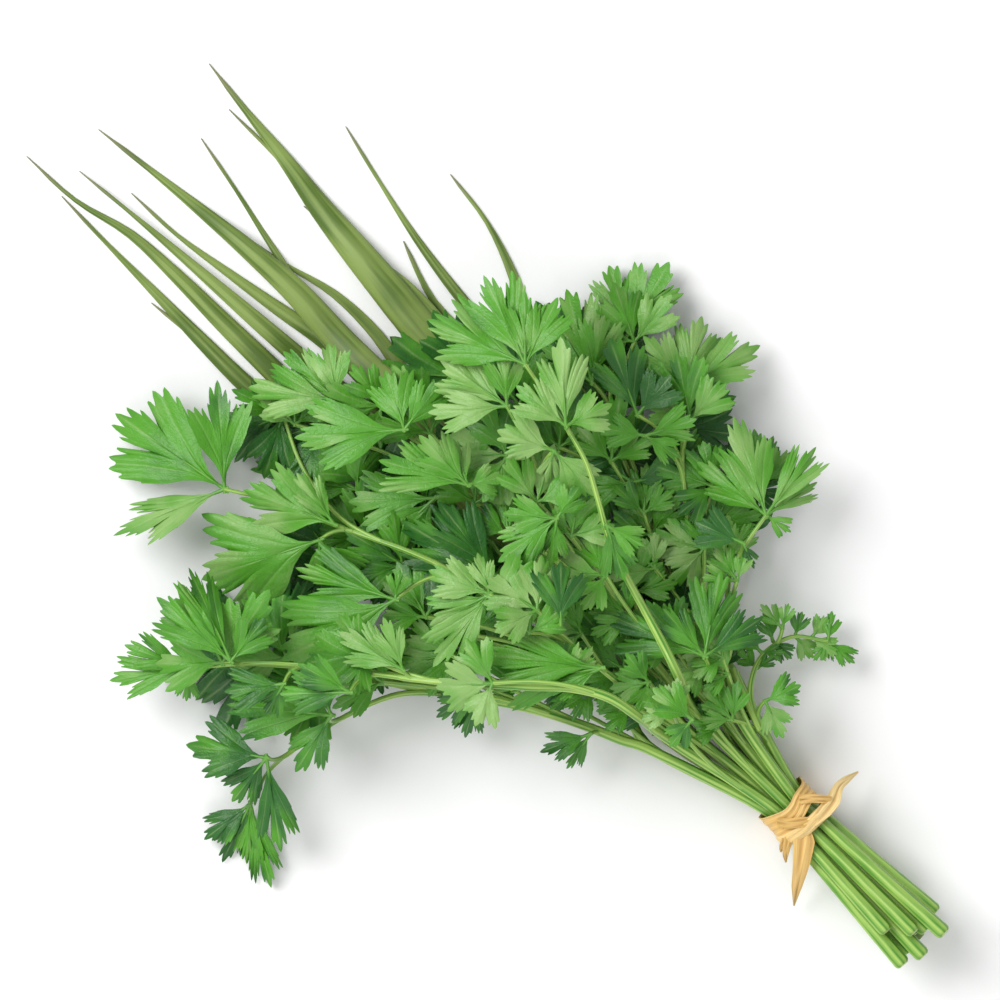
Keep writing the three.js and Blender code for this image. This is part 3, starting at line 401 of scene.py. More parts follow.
class Draws:
    """A repeatable run of draws that each leaflet starts afresh."""

    SEED_STEP = 7919
    SEED_START = 17
    FACTOR = 16807
    MODULUS = 2147483647

    def __init__(self, seed: int) -> None:
        """Starts the run at a seed."""
        self.state = seed * self.SEED_STEP + self.SEED_START

    def __call__(self, low: float, high: float) -> float:
        """The next draw between low and high."""
        self.state = (self.state * self.FACTOR) % self.MODULUS
        return low + (high - low) * (self.state / self.MODULUS)

    def three(self, low: float, high: float) -> Array:
        """The next three draws, one for each lobe of a leaflet."""
        return np.array([self(low, high) for _ in range(3)])

    def skip(self, count: int) -> None:
        """Passes over draws that only the solids use."""
        for _ in range(count):
            self(0.0, 1.0)


def curve_through(points: Array, steps: int) -> Array:
    """A smooth curve through points, each span cut into the same number of steps.

    Args:
        points: The points, one in each row.
        steps: Steps in each span.

    Returns:
        The points of the curve, ends included.
    """
    first = 2 * points[0] - points[1]
    last = 2 * points[-1] - points[-2]
    padded = np.vstack([first, points, last])
    out = []
    for i in range(len(points) - 1):
        p0, p1, p2, p3 = padded[i:i + 4]
        t0 = (p2 - p0) / 2
        t1 = (p3 - p1) / 2
        for k in range(steps):
            t = k / steps
            out.append(p1 + t0 * t + (3 * (p2 - p1) - 2 * t0 - t1) * t**2 + (2 * (p1 - p2) + t0 + t1) * t**3)
    out.append(points[-1])
    return np.array(out)


def travelled(path: Array) -> Array:
    """How far along a path each of its points is."""
    return np.concatenate([[0.0], np.cumsum(np.linalg.norm(np.diff(path, axis=0), axis=1))])


def even_path(points: Iterable[Array], step: float) -> Array:
    """A smooth path through points, cut into even steps.

    Args:
        points: The points to pass through.
        step: About how long each step is.

    Returns:
        The points of the path.
    """
    fine = curve_through(np.array(list(points)), CURVE_STEPS)
    reach = travelled(fine)
    count = max(2, math.floor(reach[-1] / step + 0.5))
    want = reach[-1] * np.arange(count + 1) / count
    return np.stack([np.interp(want, reach, fine[:, k]) for k in range(3)], axis=1)


def squares(x: Array, y: Array) -> tuple[Array, Array]:
    """The squares of the map that points are over."""
    return np.floor((x - MAP_LOW[0]) / CELL).astype(int), np.floor((y - MAP_LOW[1]) / CELL).astype(int)


class Pile:
    """How high the pieces laid down so far reach over each square of the table."""

    def __init__(self, top: Array | None = None) -> None:
        """Starts bare, or with the given heights."""
        self.top = np.zeros(MAP_CELLS) if top is None else top

    def copy(self) -> "Pile":
        """Another pile with the same heights."""
        return Pile(self.top.copy())

    def window(self, x: float, y: float, reach: float) -> Array:
        """The squares within reach of a point, as a view.

        Args:
            x: The point's place along the bunch.
            y: Its place across it.
            reach: How far to each side, in millimetres.

        Returns:
            The heights over those squares.
        """
        span = math.ceil(reach / CELL)
        cx = math.floor((x - MAP_LOW[0]) / CELL)
        cy = math.floor((y - MAP_LOW[1]) / CELL)
        return self.top[cx - span:cx + span + 1, cy - span:cy + span + 1]

    def rest(self, x: float, y: float, reach: float) -> float:
        """The lowest height at which something reaching so far round a point is clear."""
        high = float(self.window(x, y, reach).max())
        return high + GAP if high > 0 else 0.0

    def rest_under(self, x: Array, y: Array) -> Array:
        """The same for many points, each reaching over its own square and those round it.

        Args:
            x: The points' places along the bunch.
            y: Their places across it.

        Returns:
            The height at which each is clear.
        """
        i, j = squares(x, y)
        high = np.zeros(len(x))
        for di in (-1, 0, 1):
            for dj in (-1, 0, 1):
                high = np.maximum(high, self.top[i + di, j + dj])
        return np.where(high > 0, high + GAP, 0.0)

    def lift(self, x: float, y: float, reach: float, z: float) -> None:
        """Marks something that tops out at z over the squares within reach."""
        near = self.window(x, y, reach)
        np.maximum(near, z, out=near)

    def lay_points(self, points: Array) -> None:
        """Marks single points."""
        i, j = squares(points[:, 0], points[:, 1])
        np.maximum.at(self.top, (i, j), points[:, 2])

    def lay_tube(self, path: Array, width: Array, height: Array) -> None:
        """Marks a tube.

        Args:
            path: Its middle line.
            width: Its width at each point.
            height: Its height at each point.
        """
        for i in range(len(path) - 1):
            steps = math.ceil(float(np.linalg.norm(path[i + 1] - path[i])) / CELL)
            for k in range(steps + 1):
                t = k / steps
                p = path[i] + (path[i + 1] - path[i]) * t
                half = (width[i] + (width[i + 1] - width[i]) * t) / 2
                over = (height[i] + (height[i + 1] - height[i]) * t) / 2
                self.lift(p[0], p[1], max(0.0, half - CELL / 2), p[2] + over)


def settle(path: Array, width: Array, height: Array, wish: Array, pile: Pile) -> None:
    """Sets each point's height to the least that clears the pile, with gentle slopes.

    Args:
        path: The points, whose heights are set.
        width: The width at each.
        height: The height at each.
        wish: The height that each would have with nothing below.
        pile: What lies below.
    """
    count = len(path)
    z = np.array(wish, float)
    for i in range(1, count):
        for j in (i - 1, min(i + 1, count - 1)):
            for k in range(SPAN_CHECKS + 1):
                q = path[i] + (path[j] - path[i]) * k / SPAN_CHECKS
                z[i] = max(z[i], pile.rest(q[0], q[1], width[i] / 2 + GAP) + LEVEL * height[i] / 2)
    run = MAX_SLOPE * np.hypot(*np.diff(path[:, :2], axis=0).T)
    for i in range(count - 2, 0, -1):
        z[i] = max(z[i], z[i + 1] - run[i])
    for i in range(1, count):
        z[i] = max(z[i], z[i - 1] - run[i - 1])
    path[:, 2] = z


def in_bundle(seat: Place, x: float) -> Array:
    """Where the stem of a seat runs in the part of the bunch near the tie.

    Args:
        seat: Its row in the tie and its place across it.
        x: How far along the bunch from the tie.

    Returns:
        The point of its middle line.
    """
    past = max(0.0, abs(x) - TIE_HALF)
    spread = 1 + past * (SPREAD_ABOVE if x > 0 else SPREAD_BELOW)
    rise = 1 + past * (RISE_ABOVE if x > 0 else SPREAD_BELOW)
    return np.array([x, seat[1] * STEM_PITCH * spread, BUNDLE_BASE + seat[0] * ROW_RISE * rise])


def lower_stem(seat: Place, cut: float, free_width: float) -> tuple[Array, Array]:
    """A stem's lower part, from its cut end to where it goes its own way.

    Args:
        seat: Its row in the tie and its place across it.
        cut: How far its cut end is below the tie.
        free_width: Its thickness where it goes its own way.

    Returns:
        The points and the diameter at each.
    """
    path = np.array([in_bundle(seat, x) for x in (-cut, -TIE_HALF, TIE_HALF, FREE_X)])
    swell = 1 + SWELL_BELOW * (cut - TIE_HALF)
    thick = 2 * STEM_RADIUS
    return path, np.array([thick * swell, thick, thick, free_width])


@dataclass
class Leaflet:
    """One leaflet as it lies: its direction and size, its slopes and how it bends."""

    heading: float
    length: float
    half: float
    pitch: float
    roll: float
    draw: Draws
    arch: float = 0.0
    fold: float = 0.0
    crease: float = 0.0
    overlap: float = 1.0

    def __post_init__(self) -> None:
        """Draws how this leaflet bends, and passes over the draws for its solid's outline."""
        self.arch = self.draw(0.04, 0.16)
        self.fold = self.draw(-0.3, 0.5)
        self.crease = self.draw(0.02, 0.045)
        self.draw.skip(2)

    def on(self, share: Array, reach: Array, waist: Array | float = 1.0) -> Array:
        """Points of its upper face from the joint.

        Args:
            share: Share of the angle from the rib to the side edge, signed.
            reach: Distance from the joint for the leaflet's length.
            waist: How much the blade is narrowed there.

        Returns:
            The points, one in each row, in millimetres.
        """
        turn = share * self.half * waist
        a = reach * np.cos(turn)
        b = reach * np.sin(turn)
        wave = self.crease * reach * np.cos(2 * np.pi * share / RIB_SHARE)
        rise = a * self.pitch + b * self.roll + wave - self.arch * reach**2 - self.fold * b**2
        away = self.heading + turn
        return self.length * np.stack([reach * np.cos(away), reach * np.sin(away), rise], axis=-1)


class Leaf:
    """The leaflets that meet at the end of a petiole, laid as low as what is below lets them."""

    def __init__(self, plan: LeafPlan, seed: int) -> None:
        """Works out each leaflet's lie from the plan.

        Args:
            plan: Where the leaf's joint and tips are.
            seed: Start of the leaflets' draws.
        """
        self.joint = on_table(plan.at)
        self.tone = plan.tone
        self.leaflets = []
        for k, (right, down, width, pitch, roll) in enumerate(plan.leaflets):
            reach = on_table((right, down)) - self.joint
            self.leaflets.append(Leaflet(
                heading=math.atan2(reach[1], reach[0]),
                length=math.hypot(reach[0], reach[1]),
                half=LEAF_EDGE * width,
                pitch=math.tan(math.radians(pitch)),
                roll=math.tan(math.radians(roll)),
                draw=Draws(seed + k),
            ))
        self.leaflets.sort(key=lambda leaflet: leaflet.heading)
        self.make_room()

    def make_room(self) -> None:
        """Narrows the leaflets that would overlap a neighbour, and sets how much each overlaps after all."""
        halves = [leaflet.half for leaflet in self.leaflets]
        count = len(halves)
        for k, half in enumerate(halves):
            following = (k + 1) % count
            gap = self.leaflets[following].heading - self.leaflets[k].heading
            gap += 0 if gap > 0 else 2 * math.pi
            squeeze = min(1.0, CROWDING * gap / (half + halves[following]))
            self.leaflets[k].half = min(self.leaflets[k].half, half * squeeze)
            self.leaflets[following].half = min(self.leaflets[following].half, halves[following] * squeeze)
        for leaflet, half in zip(self.leaflets, halves):
            leaflet.overlap = max(1.0, LEAST_WIDTH * half / leaflet.half)

    def spread(self) -> Array:
        """Points spread over all its blades, from the joint.

        Returns:
            The points, one in each row, in millimetres.
        """
        sides = np.arange(-BLADE_SIDES, BLADE_SIDES + 1)
        side, step = np.meshgrid(sides, np.arange(BLADE_STEPS) + 1, indexing="ij")
        reach = np.where(np.abs(side) < MIDDLE_SIDES, 1.0, SIDE_REACH) * step / BLADE_STEPS
        share = side / BLADE_SIDES
        return np.vstack([leaflet.on(share.ravel(), reach.ravel()) for leaflet in self.leaflets])

    def settle(self, least: float, piles: Sequence[Pile]) -> None:
        """Raises the joint to the least height at which its blades clear each pile.

        Args:
            least: The least height of the joint.
            piles: What the blades have to clear.
        """
        points = self.spread()
        z = least
        for pile in piles:
            clear = pile.rest_under(self.joint[0] + points[:, 0], self.joint[1] + points[:, 1])
            z = max(z, float((clear - points[:, 2] + BLADE).max()))
        self.joint[2] = z

    def lay_on(self, pile: Pile) -> None:
        """Marks its blades on a pile."""
        pile.lay_points(self.joint + self.spread())


def petiole_root(path: Array, joint: Array, further: float) -> tuple[Array, Array]:
    """Where a petiole leaves its stem, so that it comes away towards its joint at a slant.

    Args:
        path: The stem's points.
        joint: The leaf's joint.
        further: How much further back it leaves the stem, in millimetres.

    Returns:
        The root and the stem's direction there.
    """
    roots = []
    ways = []
    for start, end in zip(path[:-1], path[1:]):
        ahead = (end - start) / np.linalg.norm(end - start)
        for k in range(ROOT_PLACES):
            root = start + (end - start) * k / ROOT_PLACES
            if root[0] > ROOT_X:
                roots.append(root)
                ways.append(ahead)
    away = [math.hypot(root[0] - joint[0], root[1] - joint[1]) for root in roots]
    nearest = int(np.argmin(away))
    back = away[nearest] + ROOT_BACK + further
    for k in range(nearest, -1, -1):
        if np.linalg.norm(roots[k] - roots[nearest]) > back:
            return roots[k], ways[k]
    return roots[0], ways[0]


def petiole_path(stem: Array, joint: Array, pile: Pile, further: float = 0.0) -> Array:
    """The path of a petiole from its stem to its joint, clear of what lies below.

    Args:
        stem: The stem's points.
        joint: The leaf's joint.
        pile: What lies below the stem.
        further: How much further back than usual it leaves the stem, in millimetres.

    Returns:
        The points of the path.
    """
    root, ahead = petiole_root(stem, joint, further)
    bend = root + ahead * 0.5 * float(np.linalg.norm(joint - root))
    end = joint - np.array([0.0, 0.0, BLADE / 2])
    t = (np.arange(PETIOLE_STEPS + 1) / PETIOLE_STEPS)[:, None]
    path = (1 - t)**2 * root + 2 * t * (1 - t) * bend + t**2 * end
    if root[0] >= FREE_X:
        for point in path[1:-1]:
            least = pile.rest(point[0], point[1], 2 * PETIOLE_RADIUS + CELL) + PETIOLE_RADIUS
            point[2] = max(point[2], least)
    return path


# ---- Making meshes ----


def frame_shift() -> Array:
    """How far the frame lies from the layout, found from the cut end of one onion stalk.

    Returns:
        The shift, in millimetres.
    """
    plan = ONION_STALKS[1]
    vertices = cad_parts[plan.name].data.vertices
    points = np.empty(3 * len(vertices))
    vertices.foreach_get("co", points)
    points = points.reshape(-1, 3) / MM
    on_face = points[:, 0] < points[:, 0].min() + 0.01
    face = np.unique(np.round(points[on_face], 4), axis=0)
    return face.mean(axis=0) - in_bundle(plan.seat, -plan.cut)


SHIFT = frame_shift()

# What each point of a skin is marked with: how light it is, which on leaves and raffia is partly painted
# light and shade; how near a rib, which on raffia is how deep its face dips between folds; how far along and
# how far round.
MARKS = ("tone", "vein", "reach", "turn")


class Part(Enum):
    """The surfaces that a piece of the bunch can show, in the order of its finishes."""

    FACE = 0
    UNDERSIDE = 1
    STEM = 2
    CUT = 3


def put_in_scene(name: str, data: bpy.types.ID) -> Piece:
    """A new object of some data, in the scene.

    Args:
        name: Its name.
        data: Its mesh, lamp or camera.

    Returns:
        The object.
    """
    obj = bpy.data.objects.new(name, data)
    bpy.context.scene.collection.objects.link(obj)
    return obj


class Skin:
    """Points and faces of one piece as they are built up, with the marks that its finishes read."""

    def __init__(self) -> None:
        """Starts with nothing."""
        self.points: list[Array] = []
        self.faces: list[Array] = []
        self.parts: list[Array] = []
        self.marks: dict[str, list[Array]] = {name: [] for name in MARKS}
        self.count = 0

    def add(self, points: Array, **marks: Array | float) -> int:
        """Adds points.

        Args:
            points: The points, in millimetres.
            marks: The value of each mark, at each point or for all.

        Returns:
            The number of the first point.
        """
        first = self.count
        self.points.append(np.maximum(points, (-np.inf, -np.inf, LOWEST)))
        for name in MARKS:
            self.marks[name].append(np.broadcast_to(marks.get(name, 0.0), len(points)))
        self.count += len(points)
        return first

    def face(self, corners: Array, part: Part) -> None:
        """Adds faces of one part, their corners in rows of three or four."""
        self.faces.append(corners)
        self.parts.append(np.full(len(corners), part.value))

    def grid(
        self, first: int, rows: int, columns: int, part: Part, around: bool = False, flip: bool = False,
    ) -> None:
        """Adds the faces of a grid of points.

        Args:
            first: The number of its first point.
            rows: Points one way, each row after the last.
            columns: Points in each row.
            part: What the faces are part of.
            around: Whether the last column joins the first.
            flip: Whether the faces look the other way.
        """
        number = first + np.arange(rows * columns).reshape(rows, columns)
        after = np.roll(number, -1, axis=1)
        if not around:
            number, after = number[:, :-1], after[:, :-1]
        corners = np.stack([number[:-1], after[:-1], after[1:], number[1:]], axis=-1).reshape(-1, 4)
        self.face(corners[:, ::-1] if flip else corners, part)

    def fan(self, middle: int, ring: Array, part: Part, flip: bool = False) -> None:
        """Adds triangles from one point to each pair of points along a line of points."""
        corners = np.stack([np.full(len(ring) - 1, middle), ring[:-1], ring[1:]], axis=1)
        self.face(corners[:, ::-1] if flip else corners, part)

    def piece(self, name: str, finishes: Sequence[Material], sharp: float = 60.0) -> Piece:
        """The finished object, in the frame.

        Args:
            name: Its name.
            finishes: Its materials, in the order of Part.
            sharp: Edges that turn more than this many degrees stay crisp.

        Returns:
            The object.
        """
        mesh = bpy.data.meshes.new(name)
        points = (np.vstack(self.points) + SHIFT) * MM
        mesh.vertices.add(len(points))
        mesh.vertices.foreach_set("co", points.ravel())
        sizes = np.concatenate([np.full(len(face), face.shape[1]) for face in self.faces])
        loops = np.concatenate([face.ravel() for face in self.faces])
        mesh.loops.add(len(loops))
        mesh.loops.foreach_set("vertex_index", loops)
        mesh.polygons.add(len(sizes))
        mesh.polygons.foreach_set("loop_start", np.concatenate([[0], np.cumsum(sizes)[:-1]]))
        mesh.polygons.foreach_set("material_index", np.concatenate(self.parts))
        mesh.update(calc_edges=True)
        mesh.validate()
        for mark, values in self.marks.items():
            layer = mesh.attributes.new(mark, "FLOAT", "POINT")
            layer.data.foreach_set("value", np.concatenate(values).astype(np.float32))
        mesh.shade_smooth()
        mesh.set_sharp_from_angle(angle=math.radians(sharp))
        for finish in finishes:
            mesh.materials.append(finish)
        return put_in_scene(name, mesh)


def smooth_step(low: float, high: float, value: Array | float) -> Array:
    """0 up to low, 1 from high, and an even rise between."""
    t = np.clip((np.asarray(value, float) - low) / (high - low), 0, 1)
    return t * t * (3 - 2 * t)


def refined(path: Array, steps: int, *values: Array) -> list[Array]:
    """A path with each span cut into steps along its smooth curve, and values that go with it.

    Args:
        path: The points.
        steps: Steps in each span.
        values: A value at each point, of each kind.

    Returns:
        The finer path, then the finer values of each kind.
    """
    place = np.arange(len(path))
    want = np.linspace(0, len(path) - 1, steps * (len(path) - 1) + 1)
    return [curve_through(path, steps), *(np.interp(want, place, value) for value in values)]


def crosswise(path: Array) -> tuple[Array, Array]:
    """The directions across a path.

    Args:
        path: The points.

    Returns:
        The level direction across it at each point, and the direction up from it.
    """
    ahead = np.gradient(path, axis=0)
    ahead /= np.linalg.norm(ahead, axis=1)[:, None]
    across = np.cross(ahead, (0.0, 0.0, 1.0))
    across /= np.linalg.norm(across, axis=1)[:, None]
    return across, np.cross(across, ahead)


def sweep(skin: Skin, path: Array, outline: Array, cap: Part, **marks: Array) -> None:
    """Adds a closed stem with an outline at each point of a path.

    Args:
        skin: What it is added to.
        path: The points.
        outline: For each point, the outline's places across and up.
        cap: What its ends are part of.
        marks: Marks with a row for each point of the path.
    """
    across, up = crosswise(path)
    rows, sides = outline.shape[:2]
    ring = path[:, None] + outline[..., :1] * across[:, None] + outline[..., 1:] * up[:, None]
    spread = {name: np.broadcast_to(value, (rows, sides)).ravel() for name, value in marks.items()}
    first = skin.add(ring.reshape(-1, 3), **spread)
    skin.grid(first, rows, sides, Part.STEM, around=True)
    for row, flip in ((0, False), (rows - 1, True)):
        middle = skin.add(ring[row].mean(axis=0)[None], tone=0.5, reach=0.0)
        numbers = first + row * sides + np.arange(sides + 1) % sides
        skin.fan(middle, numbers, cap, flip=flip)


# ---- Finishes ----


class Recipe:
    """A material in the making, with short ways to add and join its nodes."""

    def __init__(self, name: str) -> None:
        """Starts a material with one principled surface.

        Args:
            name: The material's name.
        """
        self.material = bpy.data.materials.new(name)
        self.material.use_nodes = True
        self.tree = self.material.node_tree
        self.surface = self.tree.nodes["Principled BSDF"]

    def node(self, kind: str, inputs: dict[int | str, object], **settings: object) -> bpy.types.Node:
        """Adds a node.

        Args:
            kind: The kind of node.
            inputs: What goes into its inputs, by their numbers or names.
            settings: Its settings by their names.

        Returns:
            The node.
        """
        node = self.tree.nodes.new(kind)
        for name, value in settings.items():
            setattr(node, name, value)
        for name, value in inputs.items():
            self.plug(value, node.inputs[name])
        return node

    def plug(self, value: object, socket: Socket) -> None:
        """Joins a socket to another, or sets its value.

        Args:
            value: The other socket, a number or a colour.
            socket: The socket that it goes into.
        """
        if isinstance(value, Socket):
            self.tree.links.new(value, socket)
        else:
            socket.default_value = (*value, 1.0) if isinstance(value, tuple) else value

    def mark(self, name: str) -> Socket:
        """One of the marks that a skin carries."""
        return self.node("ShaderNodeAttribute", {}, attribute_name=name).outputs["Fac"]

    def place(self) -> Socket:
        """Places in metres in the piece."""
        return self.node("ShaderNodeTexCoord", {}).outputs["Object"]

    def vector(self, *values: object) -> Socket:
        """A place, or a colour, from up to three values."""
        return self.node("ShaderNodeCombineXYZ", dict(enumerate(values))).outputs[0]

    def maths(self, kind: str, a: object, b: object, clamp: bool = False) -> Socket:
        """The result of one kind of sum on two values."""
        return self.node("ShaderNodeMath", {0: a, 1: b}, operation=kind, use_clamp=clamp).outputs[0]

    def times(self, a: object, b: object) -> Socket:
        """One value times another."""
        return self.maths("MULTIPLY", a, b)

    def swing(self, noise: object, depth: float) -> Socket:
        """Noise as a swing to both sides of 0, as deep as given."""
        return self.times(self.maths("SUBTRACT", noise, 0.5), depth)

    def spots(self, scale: float, detail: float = 2.0, place: Socket | None = None) -> Socket:
        """Soft spots of noise, about scale of them to the metre or to 1 of the place given."""
        inputs = {"Scale": scale, "Detail": detail, "Vector": self.place() if place is None else place}
        return self.node("ShaderNodeTexNoise", inputs).outputs["Fac"]

    def lines(self, detail: float, turns: float, along: float) -> Socket:
        """Noise drawn out into lines along a piece.

        Args:
            detail: How much fine noise is in it.
            turns: Scale round or across the piece.
            along: Scale along it.

        Returns:
            The noise.
        """
        place = self.vector(self.times(self.mark("turn"), turns), self.times(self.mark("reach"), along))
        return self.spots(1.0, detail, place)

    def span(self, value: object, low: float, high: float, to: Range = (0.0, 1.0)) -> Socket:
        """A value taken from the range low to high to another range, eased at both ends."""
        inputs = dict(enumerate((value, low, high, *to)))
        return self.node("ShaderNodeMapRange", inputs, interpolation_type="SMOOTHSTEP").outputs[0]

    def blend(self, share: object, a: object, b: object, kind: str = "MIX") -> Socket:
        """One colour blended towards another."""
        inputs = {0: share, 6: a, 7: b}
        return self.node("ShaderNodeMix", inputs, data_type="RGBA", blend_type=kind).outputs[2]

    def bump(self, height: Socket, depth: float) -> Socket:
        """A normal bumped by a height, each 1 of it as deep as given, in metres."""
        return self.node("ShaderNodeBump", {"Distance": depth, "Height": height}).outputs[0]

    def finish(
        self, colour: object, normal: Socket | None = None, through: float = 0.0, **constants: float,
    ) -> Material:
        """Sets the surface and gives the material.

        Args:
            colour: The base colour.
            normal: The bumped normal.
            through: Share of the light that shines through.
            constants: Values of the surface's own sockets, by their names with underscores.

        Returns:
            The material.
        """
        self.plug(colour, self.surface.inputs["Base Color"])
        if normal is not None:
            self.plug(normal, self.surface.inputs["Normal"])
        for name, value in constants.items():
            self.plug(value, self.surface.inputs[name.replace("_", " ")])
        if through:
            glow = self.node("ShaderNodeBsdfTranslucent", {"Color": colour})
            inputs = {0: through, 1: self.surface.outputs[0], 2: glow.outputs[0]}
            both = self.node("ShaderNodeMixShader", inputs)
            self.plug(both.outputs[0], self.tree.nodes["Material Output"].inputs["Surface"])
        return self.material


@dataclass(frozen=True)
class LeafFinish:
    """A face of the leaves: green by the tone mark, from a dark green that is in part painted shade to a pale
    light green that is in part painted sheen, with paler veins and a satin sheen.
    """

    name: str
    dark: Colour
    middle: Colour
    light: Colour
    vein: Colour
    vein_share: float
    roughness: float
    through: float = 0.22
    patch_scale: float = 80.0
    patch_depth: float = 1.0
    streak_depth: float = 0.26
    grain_scale: float = 2600.0
    pucker_scale: float = 700.0
    pucker_share: float = 1.5
    bump: float = 0.00012

    def material(self) -> Material:
        """The material of this finish.

        Returns:
            The material.
        """
        make = Recipe(self.name)
        patches = make.swing(make.spots(self.patch_scale), self.patch_depth)
        streaks = make.swing(make.lines(2.0, 6.0, 1.8), self.streak_depth)
        tone = make.maths("ADD", make.mark("tone"), make.maths("ADD", patches, streaks), clamp=True)
        low = make.blend(make.span(tone, 0.0, 0.5), self.dark, self.middle)
        green = make.blend(make.span(tone, 0.5, 1.0), low, self.light)
        seen = make.times(make.maths("POWER", make.mark("vein"), 2.0), self.vein_share)
        colour = make.blend(seen, green, self.vein)
        pucker = make.times(make.spots(self.pucker_scale), self.pucker_share)
        normal = make.bump(make.maths("ADD", make.spots(self.grain_scale, 1.0), pucker), self.bump)
        return make.finish(
            colour, normal, through=self.through, Roughness=self.roughness, Specular_IOR_Level=0.5)


@dataclass(frozen=True)
class StemFinish:
    """Stems and petioles: smooth green with paler ribs along them."""

    name: str
    green: Colour
    pale: Colour
    roughness: float = 0.38
    rib_share: float = 0.35
    shades: Range = (0.55, 1.1)
    grain_scale: float = 1500.0
    bump: float = 0.00005

    def material(self) -> Material:
        """The material of this finish.

        Returns:
            The material.
        """
        make = Recipe(self.name)
        streak = make.lines(2.0, 7.0, 0.05)
        ribs = make.maths("ADD", make.times(make.mark("vein"), self.rib_share), streak)
        shade = make.span(make.mark("tone"), 0.0, 1.0, self.shades)
        colour = make.blend(make.span(ribs, 0.35, 0.95), self.green, self.pale)
        colour = make.blend(1.0, colour, make.vector(shade, shade, shade), "MULTIPLY")
        normal = make.bump(make.spots(self.grain_scale), self.bump)
        return make.finish(colour, normal, Roughness=self.roughness)


@dataclass(frozen=True)
class CutFinish:
    """The cut face of a stem: pale and moist, with a greener rim."""

    name: str = "cut_face"
    pith: Colour = (0.62, 0.70, 0.36)
    rim: Colour = (0.30, 0.46, 0.12)
    speckle_scale: float = 2500.0
    speckle_share: float = 0.4
    grain_scale: float = 3000.0
    bump: float = 0.0001

    def material(self) -> Material:
        """The material of this finish.

        Returns:
            The material.
        """
        make = Recipe(self.name)
        speckle = make.times(make.spots(self.speckle_scale), self.speckle_share)
        colour = make.blend(make.maths("ADD", make.mark("vein"), speckle, clamp=True), self.pith, self.rim)
        return make.finish(colour, make.bump(make.spots(self.grain_scale), self.bump), Roughness=0.5)


@dataclass(frozen=True)
class OnionFinish:
    """Onion leaves: olive green under a grey bloom, with fine lines along them and dry tips."""

    name: str = "onion_leaf"
    green: Colour = (0.062, 0.124, 0.005)
    bloom: Colour = (0.205, 0.295, 0.062)
    dry: Colour = (0.19, 0.20, 0.09)
    bloom_scale: float = 35.0
    grain_scale: float = 1200.0
    grain_share: float = 0.2
    bump: float = 0.00012

    def material(self) -> Material:
        """The material of this finish.

        Returns:
            The material.
        """
        make = Recipe(self.name)
        streak = make.lines(3.0, 9.0, 0.02)
        bloom = make.span(make.maths("ADD", streak, make.spots(self.bloom_scale)), 0.8, 1.2)
        colour = make.blend(bloom, self.green, self.bloom)
        colour = make.blend(make.mark("tone"), colour, self.dry)
        height = make.maths("ADD", streak, make.times(make.spots(self.grain_scale), self.grain_share))
        return make.finish(colour, make.bump(height, self.bump), Roughness=0.5, Sheen_Weight=0.08)


@dataclass(frozen=True)
class RaffiaFinish:
    """Raffia: golden straw with fine fibres along it, strips lifted towards a pale straw that is in part a
    painted highlight, and painted shade darkening its folds and edges.
    """

    name: str = "raffia"
    straw: Colour = (0.72, 0.43, 0.105)
    pale: Colour = (0.92, 0.73, 0.35)
    crease_shade: Colour = (0.42, 0.22, 0.05)
    shares: Range = (0.0, 0.6)
    crease_shade_share: float = 0.7
    bump: float = 0.00025

    def material(self) -> Material:
        """The material of this finish.

        Returns:
            The material.
        """
        make = Recipe(self.name)
        fibre = make.lines(4.0, 26.0, 0.06)
        fibres = make.span(fibre, 0.40, 0.75, self.shares)
        # Whole strips are lifted towards the pale straw by their tone, in part a painted highlight.
        strips = make.span(make.mark("tone"), 0.4, 1.0, self.shares)
        colour = make.blend(make.maths("ADD", fibres, strips), self.straw, self.pale)
        # Painted shade: the straw darkens where its face dips between folds.
        colour = make.blend(make.times(make.mark("vein"), self.crease_shade_share), colour, self.crease_shade)
        return make.finish(colour, make.bump(fibre, self.bump), Roughness=0.5, Sheen_Weight=0.1)


@dataclass(frozen=True)
class FloorFinish:
    """The pale floor."""

    name: str = "floor"
    white: Colour = (0.90, 0.90, 0.90)

    def material(self) -> Material:
        """The material of this finish."""
        return Recipe(self.name).finish(self.white, Roughness=0.9, Specular_IOR_Level=0.1)


# The dark green stands in part for painted shade on deep leaves, the pale whitish light green in part for
# painted sheen on leaves facing up.
LEAF_FACE = LeafFinish(
    "leaf_face",
    dark=(0.026, 0.150, 0.019),
    middle=(0.100, 0.375, 0.022),
    light=(0.300, 0.525, 0.148),
    vein=(0.36, 0.56, 0.20),
    vein_share=0.55,
    roughness=0.36,
)
LEAF_UNDERSIDE = LeafFinish(
    "leaf_underside",
    dark=(0.06, 0.18, 0.05),
    middle=(0.15, 0.34, 0.10),
    light=(0.26, 0.48, 0.17),
    vein=(0.40, 0.58, 0.28),
    vein_share=0.7,
    roughness=0.6,
)
PARSLEY_STEM = StemFinish("parsley_stem", green=(0.050, 0.250, 0.018), pale=(0.420, 0.630, 0.130))


# ---- Leaves ----


@dataclass(frozen=True)
class Lobe:
    """One lobe of a leaflet: where it is across the blade, how far it reaches and its teeth."""

    centre: float
    half: float
    peak: float
    drop: Range
    teeth: int


@dataclass(frozen=True)
class Margin:
    """How a blade's edge is cut: the play and rounding of its lobes, its teeth and the bays between lobes."""

    stretch: Range = (0.92, 1.04)
    shoulder: float = 2.2
    tooth: Range = (0.96, 1.03)
    notch: Range = (0.09, 0.14)
    far_notch: float = 0.12
    point: float = 1.5
    bay: float = 0.74
    bay_curve: float = 1.7
    side: float = 0.82
    side_play: Range = (0, 0.08)
    root_width: float = 0.3
    swell: float = 0.74
    flare: float = 0.12


